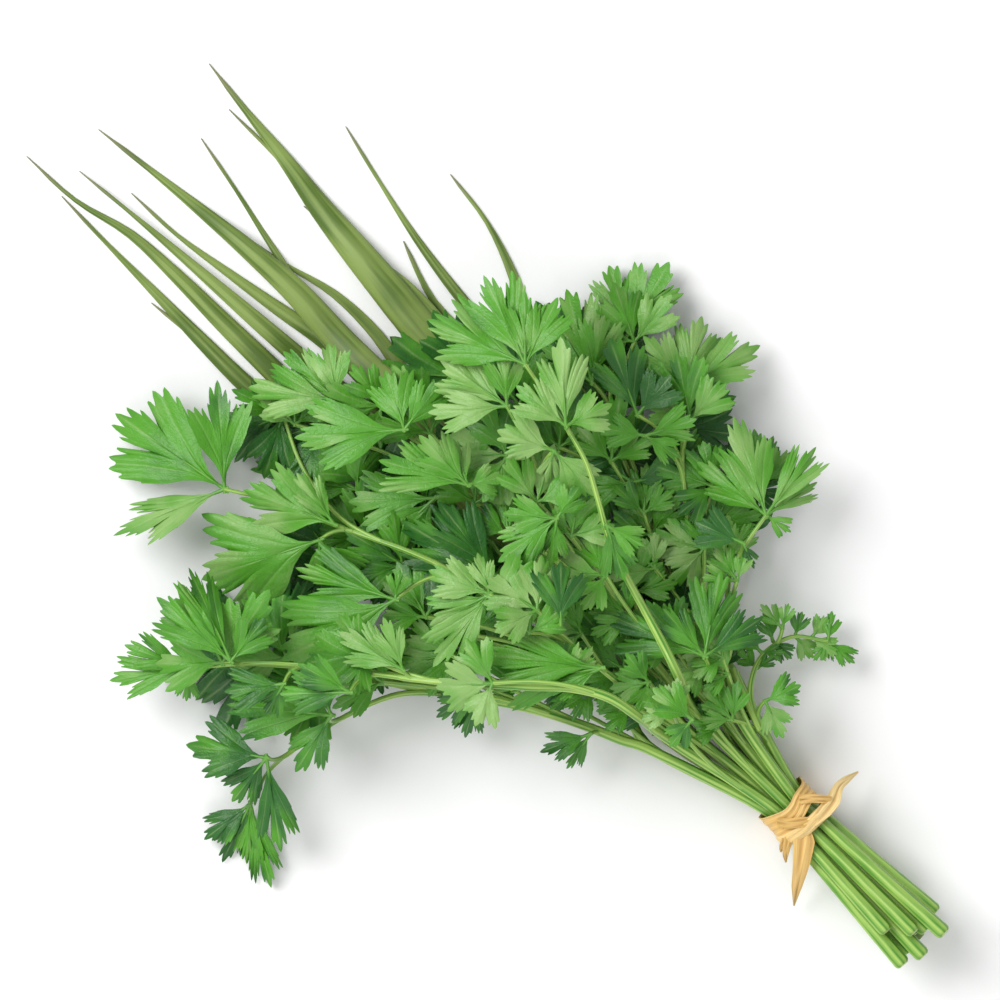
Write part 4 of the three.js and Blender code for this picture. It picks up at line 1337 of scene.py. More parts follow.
@dataclass(frozen=True)
class Bend:
    """How a blade's lobes tilt, curl and ripple and how deep its veins lie, for its length."""

    tilt: Range = (-0.11, 0.11)
    curl: Range = (-0.05, 0.14)
    roof: Range = (-0.03, 0.03)
    keel: Range = (-0.05, 0.09)
    ripple: float = 0.012
    tooth: float = 0.0015
    rib: float = 0.006
    rib_width: float = 0.035
    vein: float = 0.001
    vein_width: float = 0.24


MARGIN = Margin()
BEND = Bend()
LOBE_HALF = 0.33  # about half a lobe's width, for the width of its rib
LOBE_LIGHT = (-0.16, 0.16)  # how much lighter a lobe is than its leaflet
# Painted shade and light: one half of each lobe is drawn lighter and the other darker, as light falls on a
# blade folded along the lobe's rib.
PAINTED_FOLD_SHADE = (-0.17, 0.17)  # and one half of each lobe than its rib
CLEAR = 0.05  # from a blade's underside to the table at least


@dataclass(frozen=True)
class BladeShape:
    """The outline of a leaflet and how finely it is cut into faces."""

    lobes: tuple[Lobe, ...]
    across: tuple[float, ...]
    inner: tuple[float, ...]
    outer: tuple[float, ...]
    sinus: Range = (0.52, 0.7)
    fuller: float = 1.08
    longer: float = 1.05
    thick: float = 0.36


# Places of a tooth's points across it.
FINE = (-1.0, -0.72, -0.4, 0.0, 0.4, 0.72)
COARSE = (-1.0, -0.55, 0.0, 0.55)

# How a lobe's width is shared among its teeth.
TOOTH_SHARES = {
    2: (0.5, 0.5), 3: (0.31, 0.38, 0.31), 4: (0.22, 0.28, 0.28, 0.22), 5: (0.17, 0.2, 0.26, 0.2, 0.17),
}


def three_lobes(middle: int, side: int) -> tuple[Lobe, ...]:
    """The three lobes of a leaflet.

    Args:
        middle: Teeth of the middle lobe.
        side: Teeth of each side lobe.

    Returns:
        The lobes, from one side to the other.
    """
    return (
        Lobe(-0.665, 0.325, 0.88, (0.30, 0.13), side),
        Lobe(0.0, 0.34, 1.0, (0.21, 0.21), middle),
        Lobe(0.665, 0.325, 0.88, (0.13, 0.30), side),
    )


FINE_LEAF = BladeShape(
    three_lobes(3, 4), FINE, inner=(0.08, 0.18, 0.3, 0.43), outer=(0.25, 0.5, 0.75, 0.92, 1.0))
LARGE_LEAF = BladeShape(
    three_lobes(5, 4), FINE, inner=(0.07, 0.16, 0.27, 0.4), outer=(0.2, 0.4, 0.6, 0.8, 0.93, 1.0))
INNER_LEAF = BladeShape(
    three_lobes(3, 3), COARSE, inner=(0.1, 0.24, 0.42), outer=(0.35, 0.7, 0.92, 1.0), fuller=1.15)
FEATHERY_LEAF = BladeShape(
    three_lobes(3, 2), COARSE, inner=(0.1, 0.2, 0.3), outer=(0.35, 0.7, 0.92, 1.0), sinus=(0.34, 0.52),
    fuller=1.1)

# Leaflets listed in the plans have more teeth when longer than the first and fewer when shorter than the
# second.
# Further leaves are feathery up to the third.
LARGE_LEAFLET = 24.0
SMALL_LEAFLET = 8.0
LEAST_LEAFLET = 4.0


def blade_shape(length: float) -> BladeShape:
    """The outline for a leaflet listed in a plan.

    Args:
        length: The leaflet's length, in millimetres.

    Returns:
        The outline.
    """
    if length > LARGE_LEAFLET:
        return LARGE_LEAF
    return FEATHERY_LEAF if length < SMALL_LEAFLET else FINE_LEAF


@dataclass
class Columns:
    """The lines from the joint to a leaflet's edge, with each one's place in its tooth and lobe."""

    share: Array
    reach: Array
    tooth: Array
    lobe: Array
    number: Array


class Blade:
    """A leaflet's blade: a closed thin sheet with lobes, teeth, veins and folds."""

    def __init__(self, leaflet: Leaflet, shape: BladeShape, tone: float, tuck: float) -> None:
        """Takes the leaflet's lie and the outline it is cut to.

        Args:
            leaflet: How it lies.
            shape: The outline.
            tone: How light it is.
            tuck: How far its outer part lies under its neighbours', in millimetres.
        """
        self.tuck = tuck
        self.leaflet = leaflet
        self.shape = shape
        self.tone = tone

    def columns(self) -> Columns:
        """Draws the edge, and the lines from the joint to it.

        Returns:
            The lines, from one side edge to the other.
        """
        draw = self.leaflet.draw
        sinus = self.shape.sinus
        edge = MARGIN.side * sinus[1]
        floors = [edge - draw(*MARGIN.side_play), draw(*sinus), draw(*sinus), edge - draw(*MARGIN.side_play)]
        rows = []
        for number, lobe in enumerate(self.shape.lobes):
            stretch = draw(*MARGIN.stretch)
            low, high = floors[number:number + 2]
            start = lobe.centre - lobe.half
            for part in TOOTH_SHARES[lobe.teeth]:
                half = lobe.half * part
                centre = start + half
                start += 2 * half
                length = draw(*MARGIN.tooth)
                notch = draw(*MARGIN.notch)
                for place in self.shape.across:
                    share = centre + place * half
                    u = (share - lobe.centre) / lobe.half
                    drop = lobe.drop[0] if u < 0 else lobe.drop[1]
                    reach = lobe.peak * stretch * (1 - drop * abs(u)**MARGIN.shoulder)
                    cut = notch if place < 0 else MARGIN.far_notch
                    reach *= 1 - cut * abs(place)**MARGIN.point
                    reach *= length if abs(place) < 1 else 1.0
                    floor = low if u < 0 else high
                    bay = max(0.0, (abs(u) - MARGIN.bay) / (1 - MARGIN.bay))
                    reach += (floor - reach) * bay**MARGIN.bay_curve
                    rows.append((share, reach, place, u, number))
        rows.append((1.0, floors[-1], 1.0, 1.0, 2))
        return Columns(*np.array(rows).T)

    def build(self, skin: Skin, joint: Array) -> None:
        """Adds the blade to a skin.

        Args:
            skin: What it is added to.
            joint: Where the leaflets meet.
        """
        lines = self.columns()
        inner = np.array(self.shape.inner)
        outer = np.array(self.shape.outer)
        radius = np.vstack([
            np.broadcast_to(inner[:, None], (len(inner), len(lines.share))),
            inner[-1] + (lines.reach - inner[-1]) * outer[:, None],
        ])
        rows, sides = radius.shape
        share = np.broadcast_to(lines.share, radius.shape)
        swell = MARGIN.swell * smooth_step(0.02, 0.46, radius)
        waist = MARGIN.root_width + swell + MARGIN.flare * smooth_step(0.5, 1, radius)
        waist = self.shape.fuller * waist * self.leaflet.overlap
        waist = waist * np.abs(share)**(1.1 * smooth_step(0.8, 0.1, radius))
        points = self.leaflet.on(share, radius, waist) * (self.shape.longer, self.shape.longer, 1.0)
        rib = np.exp(-(lines.lobe * LOBE_HALF / BEND.rib_width)**2) * smooth_step(1.02, 0.7, radius)
        vein = np.exp(-(lines.tooth / BEND.vein_width)**2) * smooth_step(0.38, 0.58, radius)
        vein = vein * (1 - 0.6 * smooth_step(0.8, 1, radius))
        points[..., 2] += self.relief(lines, radius, rib, vein) - self.tuck * smooth_step(0.1, 0.6, radius)
        points += joint
        points[..., 2] = np.maximum(points[..., 2], self.shape.thick + CLEAR)
        draw = self.leaflet.draw
        lights = draw.three(*LOBE_LIGHT)[lines.number.astype(int)]
        # Painted fold shade: each lobe is lighter on one side of its rib and darker on the other.
        halves = draw(*PAINTED_FOLD_SHADE) * np.clip(2 * lines.lobe, -1, 1)
        tone = self.tone + (lights + halves) * smooth_step(0.35, 0.75, radius)
        marks = {
            "tone": tone.ravel(),
            "turn": (share + 3.1 * draw(0, 9)).ravel(),
            "vein": np.clip(rib * (1 - 0.35 * (lines.number != 1)) + 0.3 * vein, 0, 1).ravel(),
            "reach": radius.ravel(),
        }
        down = np.array([0.0, 0.0, self.shape.thick])
        top = skin.add(points.reshape(-1, 3), **marks)
        under = skin.add(points.reshape(-1, 3) - down, **marks)
        base = skin.add(np.vstack([joint, joint - down]), tone=self.tone, vein=1.0)
        skin.grid(top, rows, sides, Part.FACE, flip=True)
        skin.grid(under, rows, sides, Part.UNDERSIDE)
        line = np.arange(sides)
        skin.fan(base, top + line, Part.FACE)
        skin.fan(base + 1, under + line, Part.UNDERSIDE, flip=True)
        edge = np.concatenate([
            np.arange(rows) * sides,
            (rows - 1) * sides + line[1:],
            (np.arange(rows - 1)[::-1] + 1) * sides - 1,
        ])
        upper = np.concatenate([[base], top + edge, [base]])
        lower = np.concatenate([[base + 1], under + edge, [base + 1]])
        skin.face(np.stack([lower[1:], lower[:-1], upper[:-1], upper[1:]], axis=1), Part.UNDERSIDE)

    def relief(self, lines: Columns, radius: Array, rib: Array, vein: Array) -> Array:
        """How far each point stands above the plain bent blade: folds, sunk veins and curled tips.

        Args:
            lines: The lines from the joint to the edge.
            radius: How far along its line each point is.
            rib: How near each is to the rib of its lobe.
            vein: How near each is to the vein of its tooth.

        Returns:
            The heights, in millimetres.
        """
        draw = self.leaflet.draw
        number = lines.number.astype(int)
        tilt = draw.three(*BEND.tilt)[number]
        curl = draw.three(*BEND.curl)[number]
        roof = draw.three(*BEND.roof)[number]
        tip = np.clip(radius / np.maximum(lines.reach, 0.5) - 0.6, 0, 1)**2
        ripple = BEND.ripple * np.sin(draw(5, 9) * radius + draw(0, 6))
        ripple = ripple * np.sin(draw(4, 8) * lines.share + draw(0, 6))
        free = smooth_step(0.5, 0.95, radius) * (tilt * lines.lobe + roof * np.abs(lines.lobe))
        teeth = smooth_step(0.5, 0.9, radius) * BEND.tooth * np.cos(np.pi * lines.tooth)
        flat = self.leaflet.crease * radius * np.cos(2 * np.pi * lines.share / RIB_SHARE)
        keel = -draw(*BEND.keel) * np.abs(lines.share) * smooth_step(0.1, 0.5, radius)
        rise = free + teeth + keel + ripple - BEND.rib * rib - BEND.vein * vein - curl * tip * 2.0 - flat
        return self.leaflet.length * rise


TUCK = (-1.2, 0.9)  # how far every other leaflet lies under its neighbours
STALK_REACH = (-0.04, 0.06, 0.14, 0.24, 0.36)  # points of a leaflet's stalk, for its length
STALK_HALF = (0.5, 0.48, 0.4, 0.3, 0.12)  # and half the stalk's width at each, in millimetres
STALK_DROP = 0.3
STALK_TONE = 0.7
LEAFLET_LIGHT = (-0.2, 0.2)  # how much lighter a leaflet is than its leaf


def build_leaf(skin: Skin, leaf: Leaf, shape: BladeShape | None = None) -> None:
    """Adds a leaf's blades and their short stalks.

    Args:
        skin: What they are added to.
        leaf: The leaf.
        shape: The outline of its blades, or None for the one for each leaflet's size.
    """
    reach = np.array(STALK_REACH)
    for number, leaflet in enumerate(leaf.leaflets):
        tone = leaf.tone + leaflet.draw(*LEAFLET_LIGHT)
        Blade(leaflet, shape or blade_shape(leaflet.length), tone, TUCK[number % 2]).build(skin, leaf.joint)
        path = leaf.joint + leaflet.on(np.zeros(len(reach)), reach) - (0.0, 0.0, STALK_DROP)
        round_stem(skin, path, 2 * np.array(STALK_HALF), sides=8, ribs=0.0, tone=STALK_TONE)


# ---- Leafy stems ----


STEM_RIBS = 7


def round_stem(
    skin: Skin, path: Array, width: Array, sides: int, ribs: float, tone: float, cap: Part = Part.STEM,
) -> None:
    """Adds a round stem with low ribs along it.

    Args:
        skin: What it is added to.
        path: Its middle line.
        width: Its width at each point.
        sides: Points round it.
        ribs: Depth of the grooves between its ribs, for its radius.
        tone: How light it is.
        cap: What its ends are part of.
    """
    turn = -math.pi / 2 + 2 * np.pi * np.arange(sides) / sides
    crest = 0.5 + 0.5 * np.cos(STEM_RIBS * turn)
    plump = 1 - ribs * (1 - crest)
    outline = np.stack([
        0.5 * width[:, None] * np.cos(turn) * plump,
        0.5 * width[:, None] * np.sin(turn) * plump,
    ], axis=-1)
    along = travelled(path)
    sweep(
        skin, path, outline, cap,
        tone=np.array(tone), vein=crest[None] * (ribs > 0), reach=along[:, None],
        turn=(np.arange(sides) / sides)[None],
    )


def rounded_end(path: Array, width: Array) -> tuple[Array, Array]:
    """A path with its cut end rounded off.

    Args:
        path: The points, from the cut end.
        width: The width at each.

    Returns:
        The points and widths with more of them at the end.
    """
    ahead = path[1] - path[0]
    ahead /= np.linalg.norm(ahead)
    steps = np.array([0.0, 0.25, 0.6, 1.1])
    shares = np.array([0.66, 0.84, 0.95, 1.0])
    line = np.vstack([path[0] + ahead * steps[:, None], path[1:]])
    return line, np.concatenate([width[0] * shares, width[1:]])


@dataclass
class LeafyStem:
    """A parsley stem with its petioles and leaves."""

    plan: StemPlan
    order: int
    steps: int = 6
    sides: int = 21
    ribs: float = 0.07
    slimmer: float = 0.4
    tone: float = 0.6
    petiole_steps: int = 4
    petiole_sides: int = 12
    petiole_ribs: float = 0.06
    petiole_half: float = 0.68
    petiole_slimmer: float = 0.2
    petiole_flare: float = 0.12
    petiole_tone: float = 0.05
    path: Array = field(init=False)
    width: Array = field(init=False)
    leaves: list[Leaf] = field(default_factory=list)
    petioles: list[Array] = field(default_factory=list)
    further: list[Leaf] = field(default_factory=list)

    def lay(self, pile: Pile, bundle: Pile) -> None:
        """Finds where the stem and each leaf lie.

        Args:
            pile: What has been laid so far, with this stem added.
            bundle: The stems in the tie.
        """
        plan = self.plan
        below = pile.copy()
        seed = 1000 * (self.order + 1)
        self.leaves = [Leaf(leaf, seed + 10 * k) for k, leaf in enumerate(plan.leaves)]
        last, *others = self.leaves
        last.settle(plan.tip_height, [below, bundle])
        path, width = lower_stem(plan.seat, plan.cut, 2 * STEM_RADIUS * FREE_TAPER)
        start = path[-1]
        way = even_path([start * FLAT, *map(on_table, plan.route), last.joint * FLAT], STATION)
        share = np.linspace(0, 1, len(way))
        thick = 2 * (STEM_RADIUS * FREE_TAPER + (STEM_TIP_RADIUS - STEM_RADIUS * FREE_TAPER) * share)
        wish = start[2] + (last.joint[2] - start[2]) * (share * share * (3 - 2 * share))
        settle(way, thick, thick, wish, below)
        last.joint[2] = way[-1][2]
        self.path = np.vstack([path, way[1:]])
        self.width = np.concatenate([width, thick[1:]])
        pile.lay_tube(self.path, self.width, self.width)
        last.lay_on(pile)
        for leaf in others:
            leaf.settle(PETIOLE_RADIUS, [pile, bundle])
            petiole = petiole_path(self.path, leaf.joint, below)
            slim = np.full(len(petiole), 2 * PETIOLE_RADIUS)
            self.petioles.append(petiole)
            pile.lay_tube(petiole, slim, slim)
            leaf.lay_on(pile)
        for k, small in enumerate(SMALL_LEAVES.get(plan.name, ())):
            leaf = Leaf(small, seed + 500 + k)
            away = np.hypot(*(self.path - leaf.joint)[:, :2].T)
            leaf.joint[2] = self.path[int(np.argmin(away))][2]
            self.further.append(leaf)

    def build(self, finishes: Sequence[Material]) -> Piece:
        """Builds the stem as one piece.

        Args:
            finishes: Its materials, in the order of Part.

        Returns:
            The piece.
        """
        skin = Skin()
        path, width = refined(self.path, self.steps, self.width)
        share = np.linspace(0, 1, len(width))
        path, width = rounded_end(path, width * (1 - self.slimmer * smooth_step(0.25, 0.95, share)))
        round_stem(skin, path, width, self.sides, self.ribs, self.tone, cap=Part.CUT)
        for petiole in self.petioles:
            line = refined(petiole, self.petiole_steps)[0]
            share = np.linspace(0, 1, len(line))
            flare = self.petiole_flare * smooth_step(0.9, 1.0, share)
            slim = 2 * (self.petiole_half - self.petiole_slimmer * share + flare)
            tone = self.tone + self.petiole_tone
            round_stem(skin, line, slim, self.petiole_sides, self.petiole_ribs, tone)
        for leaf in self.leaves:
            build_leaf(skin, leaf)
        for leaf in self.further:
            shape = INNER_LEAF if leaf.leaflets[0].length > LEAST_LEAFLET else FEATHERY_LEAF
            build_leaf(skin, leaf, shape)
        return skin.piece(self.plan.name + "_leaves", finishes)


# ---- Onion leaves ----


@dataclass
class OnionStalk:
    """An onion stalk from its cut end through its neck to its tubular leaves.

    A leaf's tip loses the shares of tip from its width and height, and its lines of colour start next_leaf
    millimetres on from those of the leaf before.
    """

    plan: OnionPlan
    steps: int = 4
    sides: int = 24
    fuller: float = 0.36
    tip: Range = (0.75, 0.6)
    tip_from: float = 0.93
    dry_from: float = 0.86
    ridge: float = 1.3
    next_leaf: float = 61.0
    runs: list[tuple[Array, Array, Array]] = field(default_factory=list)

    def lay(self, pile: Pile) -> None:
        """Finds where the neck and each leaf lie.

        Args:
            pile: What has been laid so far, with this stalk added.
        """
        plan = self.plan
        below = pile.copy()
        path, width = lower_stem(plan.seat, plan.cut, 2 * STEM_RADIUS * ONION_NECK)
        start = path[-1]
        neck = even_path([start * FLAT, *map(on_table, plan.neck)], ONION_STATION)
        share = np.linspace(0, 1, len(neck))
        wide = width[-1] + (plan.neck_width - width[-1]) * share
        tall = wide * (1 + (ONION_FLATNESS - 1) * np.minimum(1, 2 * share))
        wish = LEVEL * tall / 2
        wish[0] = start[2]
        settle(neck, wide, tall, wish, below)
        path = np.vstack([path, neck[1:]])
        self.runs = [(path, np.concatenate([width, wide[1:]]), np.concatenate([width, tall[1:]]))]
        pile.lay_tube(*self.runs[0])
        fork = neck[-1]
        back = (neck[-2] - fork) * FLAT
        back /= np.linalg.norm(back)
        for leaf in plan.leaves:
            tuck = (fork + back * ONION_TUCK) * FLAT
            way = even_path([tuck, *map(on_table, leaf.route)], ONION_STATION)
            share = np.linspace(0, 1, len(way))
            swell = ONION_START + (1 - ONION_START) * np.minimum(1, 3 * share)
            wide = np.maximum(ONION_TIP, leaf.width * swell * (1 - share**ONION_TAPER))
            tall = np.maximum(ONION_TIP, wide * ONION_FLATNESS)
            wish = LEVEL * tall / 2
            wish[0] = fork[2]
            settle(way, wide, tall, wish, below)
            self.runs.append((way, wide, tall))
            pile.lay_tube(way, wide, tall)

    def build(self, finishes: Sequence[Material]) -> Piece:
        """Builds the stalk as one piece.

        Args:
            finishes: Its materials, in the order of Part.

        Returns:
            The piece.
        """
        skin = Skin()
        for number, (path, width, height) in enumerate(self.runs):
            line, wide, tall = refined(path, self.steps, width, height)
            if number == 0:
                tall = rounded_end(line, tall)[1]
                line, wide = rounded_end(line, wide)
            share = np.linspace(0, 1, len(line))
            if number > 0:
                end = smooth_step(self.tip_from, 1.0, share)
                wide = wide * (1 + self.fuller * smooth_step(0.95, 0.5, share) - self.tip[0] * end)
                tall = tall * (1 - self.tip[1] * end)
            turn = -math.pi / 2 + 2 * np.pi * np.arange(self.sides) / self.sides
            crest = np.sign(np.sin(turn)) * np.abs(np.sin(turn))**self.ridge
            outline = np.stack([0.5 * wide[:, None] * np.cos(turn), 0.5 * tall[:, None] * crest], axis=-1)
            along = travelled(line) + self.next_leaf * number
            dry = smooth_step(self.dry_from, 1.0, share) * (number > 0)
            sweep(
                skin, line, outline, Part.CUT,
                tone=dry[:, None], reach=along[:, None], turn=(np.arange(self.sides) / self.sides)[None],
            )
        return skin.piece(self.plan.name + "_leaves", finishes)


# ---- Inner leaves ----


class Heap:
    """Which small blocks of the space over the table are full, each a millimetre high."""

    HIGH = 70
    STEPS = 12

    def __init__(self) -> None:
        """Starts empty."""
        self.full = np.zeros((*MAP_CELLS, self.HIGH), bool)

    def number(self, points: Array) -> tuple[Array, ...]:
        """The block that each point is in.

        Args:
            points: The points.

        Returns:
            The blocks' numbers along, across and up.
        """
        i, j = squares(points[..., 0], points[..., 1])
        k = np.clip(np.floor(points[..., 2]).astype(int), 0, self.HIGH - 1)
        return np.clip(i, 0, MAP_CELLS[0] - 1), np.clip(j, 0, MAP_CELLS[1] - 1), k

    def mark(self, points: Array) -> None:
        """Fills the blocks that points are in."""
        self.full[self.number(points)] = True

    def mark_tube(self, path: Array, width: Array, height: Array) -> None:
        """Fills the blocks along a tube.

        Args:
            path: Its middle line.
            width: Its width at each point.
            height: Its height at each point.
        """
        line, wide, tall = refined(path, self.STEPS, width, height)
        across = crosswise(line)[0]
        for a in (-1.0, -0.5, 0.0, 0.5, 1.0):
            for b in (-1.0, -0.4, 0.4, 1.0):
                if a * a + b * b < 1.3:
                    up = np.array([0.0, 0.0, 0.5]) * b * tall[:, None]
                    self.mark(line + across * 0.5 * a * wide[:, None] + up)

    def share_hit(self, points: Array) -> Array:
        """The share of points in full blocks, for each row of points."""
        return self.full[self.number(points)].mean(axis=-1)


def within(place: Place, outline: Sequence[Place]) -> bool:
    """Whether a place is inside an outline.

    Args:
        place: The place on the sheet.
        outline: The outline's corners, the last joined to the first.

    Returns:
        True inside it.
    """
    x, y = place
    inside = False
    for (x0, y0), (x1, y1) in zip(outline, (*outline[1:], outline[0])):
        if (y0 > y) != (y1 > y) and x < (x1 - x0) * (y - y0) / (y1 - y0) + x0:
            inside = not inside
    return inside


@dataclass(frozen=True)
class Layer:
    """One round of inner leaves: how close, how large, how much each covers, how high they may lie and how
    light they are, the deep round darker as painted shade.
    """

    pitch: float
    size: float
    fresh: float
    heights: Range
    deep: bool
    tone: float


# The deep round's low tone is painted shade on the leaves lying under the rest.
INNER_LAYERS = (
    Layer(pitch=19.0, size=1.1, fresh=0.4, heights=(1.5, 15.0), deep=True, tone=0.1),
    Layer(pitch=12.0, size=1.0, fresh=0.2, heights=(3.0, 50.0), deep=False, tone=0.33),
    Layer(pitch=9.0, size=0.72, fresh=0.22, heights=(3.0, 50.0), deep=False, tone=0.33),
)


@dataclass
class InnerLeaves:
    """The smaller leaves that fill the bunch between the listed ones.

    A leaf's length is the first of length, and the second more for each millimetre from the tie. It lies at
    the height that scores best, and what it touches and hides at a height counts against that height. Its
    tone rises with its height, so that lower leaves carry painted shade.
    """

    tries: int = 3
    seed: int = 5
    length: Range = (7.0, 0.085)
    play: Range = (0.85, 1.15)
    turned: Range = (-1.1, 1.1)
    side_share: Range = (0.7, 0.95)
    width: Range = (0.85, 1.1)
    pitch: Range = (-8, 26)
    roll: Range = (-20, 20)
    bottom: float = 0.6
    top: float = 54.0
    touch_loss: float = 2.0
    hide_loss: float = 1.4
    height_loss: float = 0.006
    deep_start: float = 0.7
    deep_hide_loss: float = 1.5
    deep_height_loss: float = 0.03
    painted_depth_shade: float = 0.0085
    light_play: Range = (-0.12, 0.16)
    back: float = 28.0
    back_play: Range = (0.2, 1.8)
    heap: Heap = field(default_factory=Heap)
    covered: Array = field(default_factory=lambda: np.zeros(MAP_CELLS, bool))

    def note(self, leaf: Leaf, covered: Array) -> None:
        """Marks a leaf as laid, in the heap and on a map.

        Args:
            leaf: The leaf.
            covered: The map of covered squares.
        """
        points = leaf.joint + leaf.spread()
        self.heap.mark(points)
        i, j, _ = self.heap.number(points)
        covered[i, j] = True

    def plan_at(self, place: Place, layer: Layer, draw: Draws) -> LeafPlan | None:
        """A leaf with its joint at a place, if it stays within the bunch.

        Args:
            place: The joint's place on the sheet.
            layer: The round it belongs to.
            draw: The run of draws.

        Returns:
            The leaf's plan, or None.
        """
        back = np.array(TIE_ON_SHEET) - place
        away = math.hypot(*back) * SHEET_STEP
        low, slope = self.length
        size = layer.size * (low + slope * away) * draw(*self.play) / SHEET_STEP
        heading = math.atan2(-back[1], -back[0]) + draw(*self.turned)
        spread = draw(*self.play)
        leaflets = []
        for turn, share in ((0.0, 1.0), (spread, draw(*self.side_share)), (-spread, draw(*self.side_share))):
            right = place[0] + size * share * math.cos(heading + turn)
            down = place[1] + size * share * math.sin(heading + turn)
            if not within((right, down), FOLIAGE_EDGE):
                return None
            leaflets.append((right, down, draw(*self.width), draw(*self.pitch), draw(*self.roll)))
        return LeafPlan(place, tuple(leaflets))

    def place_leaf(self, leaf: Leaf, layer: Layer, covered: Array, pile: Pile) -> bool:
        """Finds the height for a leaf where it shows most and touches and hides least.

        Args:
            leaf: The leaf.
            layer: The round it belongs to.
            covered: The squares that leaves cover.
            pile: The heights of all that is laid.

        Returns:
            Whether there is a good enough place.
        """
        spread = leaf.spread()
        flat = leaf.joint * FLAT + spread
        i, j, _ = self.heap.number(flat)
        fresh = ~covered[i, j]
        if fresh.mean() < layer.fresh:
            return False
        heights = np.arange(*layer.heights, 1.0)
        points = flat[None] + (1 - FLAT) * heights[:, None, None]
        good = (points[..., 2].min(axis=1) > self.bottom) & (points[..., 2].max(axis=1) < self.top)
        hit = self.heap.share_hit(points)
        above = points[..., 2] > pile.top[i, j][None]
        if layer.deep:
            hides = (above & self.covered[i, j]).mean(axis=1)
            score = self.deep_start - self.touch_loss * hit - self.deep_height_loss * heights
            score -= self.deep_hide_loss * hides
        else:
            seen = (above & fresh).mean(axis=1) / fresh.mean()
            hides = (above & ~fresh).mean(axis=1)
            score = seen - self.hide_loss * hides - self.touch_loss * hit - self.height_loss * heights
        score = np.where(good, score, -np.inf)
        best = int(np.argmax(score))
        leaf.joint[2] = heights[best]
        return score[best] > 0.0

    def join(self, leaf: Leaf, stems: Sequence[LeafyStem]) -> None:
        """Joins a leaf to the nearest stem by a petiole.

        Args:
            leaf: The leaf.
            stems: The leafy stems.
        """
        def away(stem: LeafyStem) -> float:
            """How far a stem is from the joint.

            Args:
                stem: The stem.

            Returns:
                The distance, where a height counts double above the joint and half below it.
            """
            line = stem.path[stem.path[:, 0] > ROOT_X]
            gap = line - leaf.joint
            gap[:, 2] = np.where(gap[:, 2] > 0, 2.0 * gap[:, 2], 0.5 * gap[:, 2])
            return float(np.linalg.norm(gap, axis=1).min())

        stem = min(stems, key=away)
        further = self.back * leaf.leaflets[0].draw(*self.back_play)
        stem.petioles.append(petiole_path(stem.path, leaf.joint, Pile(), further))
        stem.further.append(leaf)

    def lay_layer(self, layer: Layer, pile: Pile, stems: Sequence[LeafyStem], draw: Draws) -> int:
        """Lays one round of leaves.

        Args:
            layer: The round.
            pile: The heights of all that is laid.
            stems: The leafy stems.
            draw: The run of draws.

        Returns:
            How many it laid.
        """
        covered = np.zeros(MAP_CELLS, bool) if layer.deep else self.covered
        right, down = np.array(INNER_EDGE).T
        spots = [
            (x + draw(-0.5, 0.5) * layer.pitch, y + draw(-0.5, 0.5) * layer.pitch)
            for x in np.arange(right.min(), right.max(), layer.pitch)
            for y in np.arange(down.min(), down.max(), layer.pitch)
        ]
        laid = 0
        for number in np.argsort([draw(0, 1) for _ in spots]):
            if not within(spots[number], INNER_EDGE):
                continue
            for _ in range(self.tries):
                plan = self.plan_at(spots[number], layer, draw)
                if plan is None:
                    continue
                leaf = Leaf(plan, int(draw(1, 1e6)))
                if not self.place_leaf(leaf, layer, covered, pile):
                    continue
                # Painted shade: the lower a leaf lies, the darker its tone.
                leaf.tone = layer.tone + self.painted_depth_shade * leaf.joint[2] + draw(*self.light_play)
                self.note(leaf, covered)
                leaf.lay_on(pile)
                self.join(leaf, stems)
                laid += 1
                break
        return laid

    def lay(self, pile: Pile, stems: Sequence[LeafyStem], stalks: Sequence[OnionStalk]) -> None:
        """Lays the leaves and joins them to the stems.

        Args:
            pile: What has been laid so far.
            stems: The leafy stems.
            stalks: The onion stalks.
        """
        for stalk in stalks:
            for run in stalk.runs:
                self.heap.mark_tube(*run)
        for stem in stems:
            self.heap.mark_tube(stem.path, stem.width, stem.width)
            for leaf in stem.leaves:
                self.note(leaf, self.covered)
        draw = Draws(self.seed)
        for layer in INNER_LAYERS:
            log.info("inner leaves: %d", self.lay_layer(layer, pile, stems, draw))


# ---- Raffia tie ----


@dataclass(frozen=True)
class Fold:
    """A soft ridge along a strip: its place across at one side and the other, its width and its height."""

    start: float
    end: float
    wide: float
    high: float


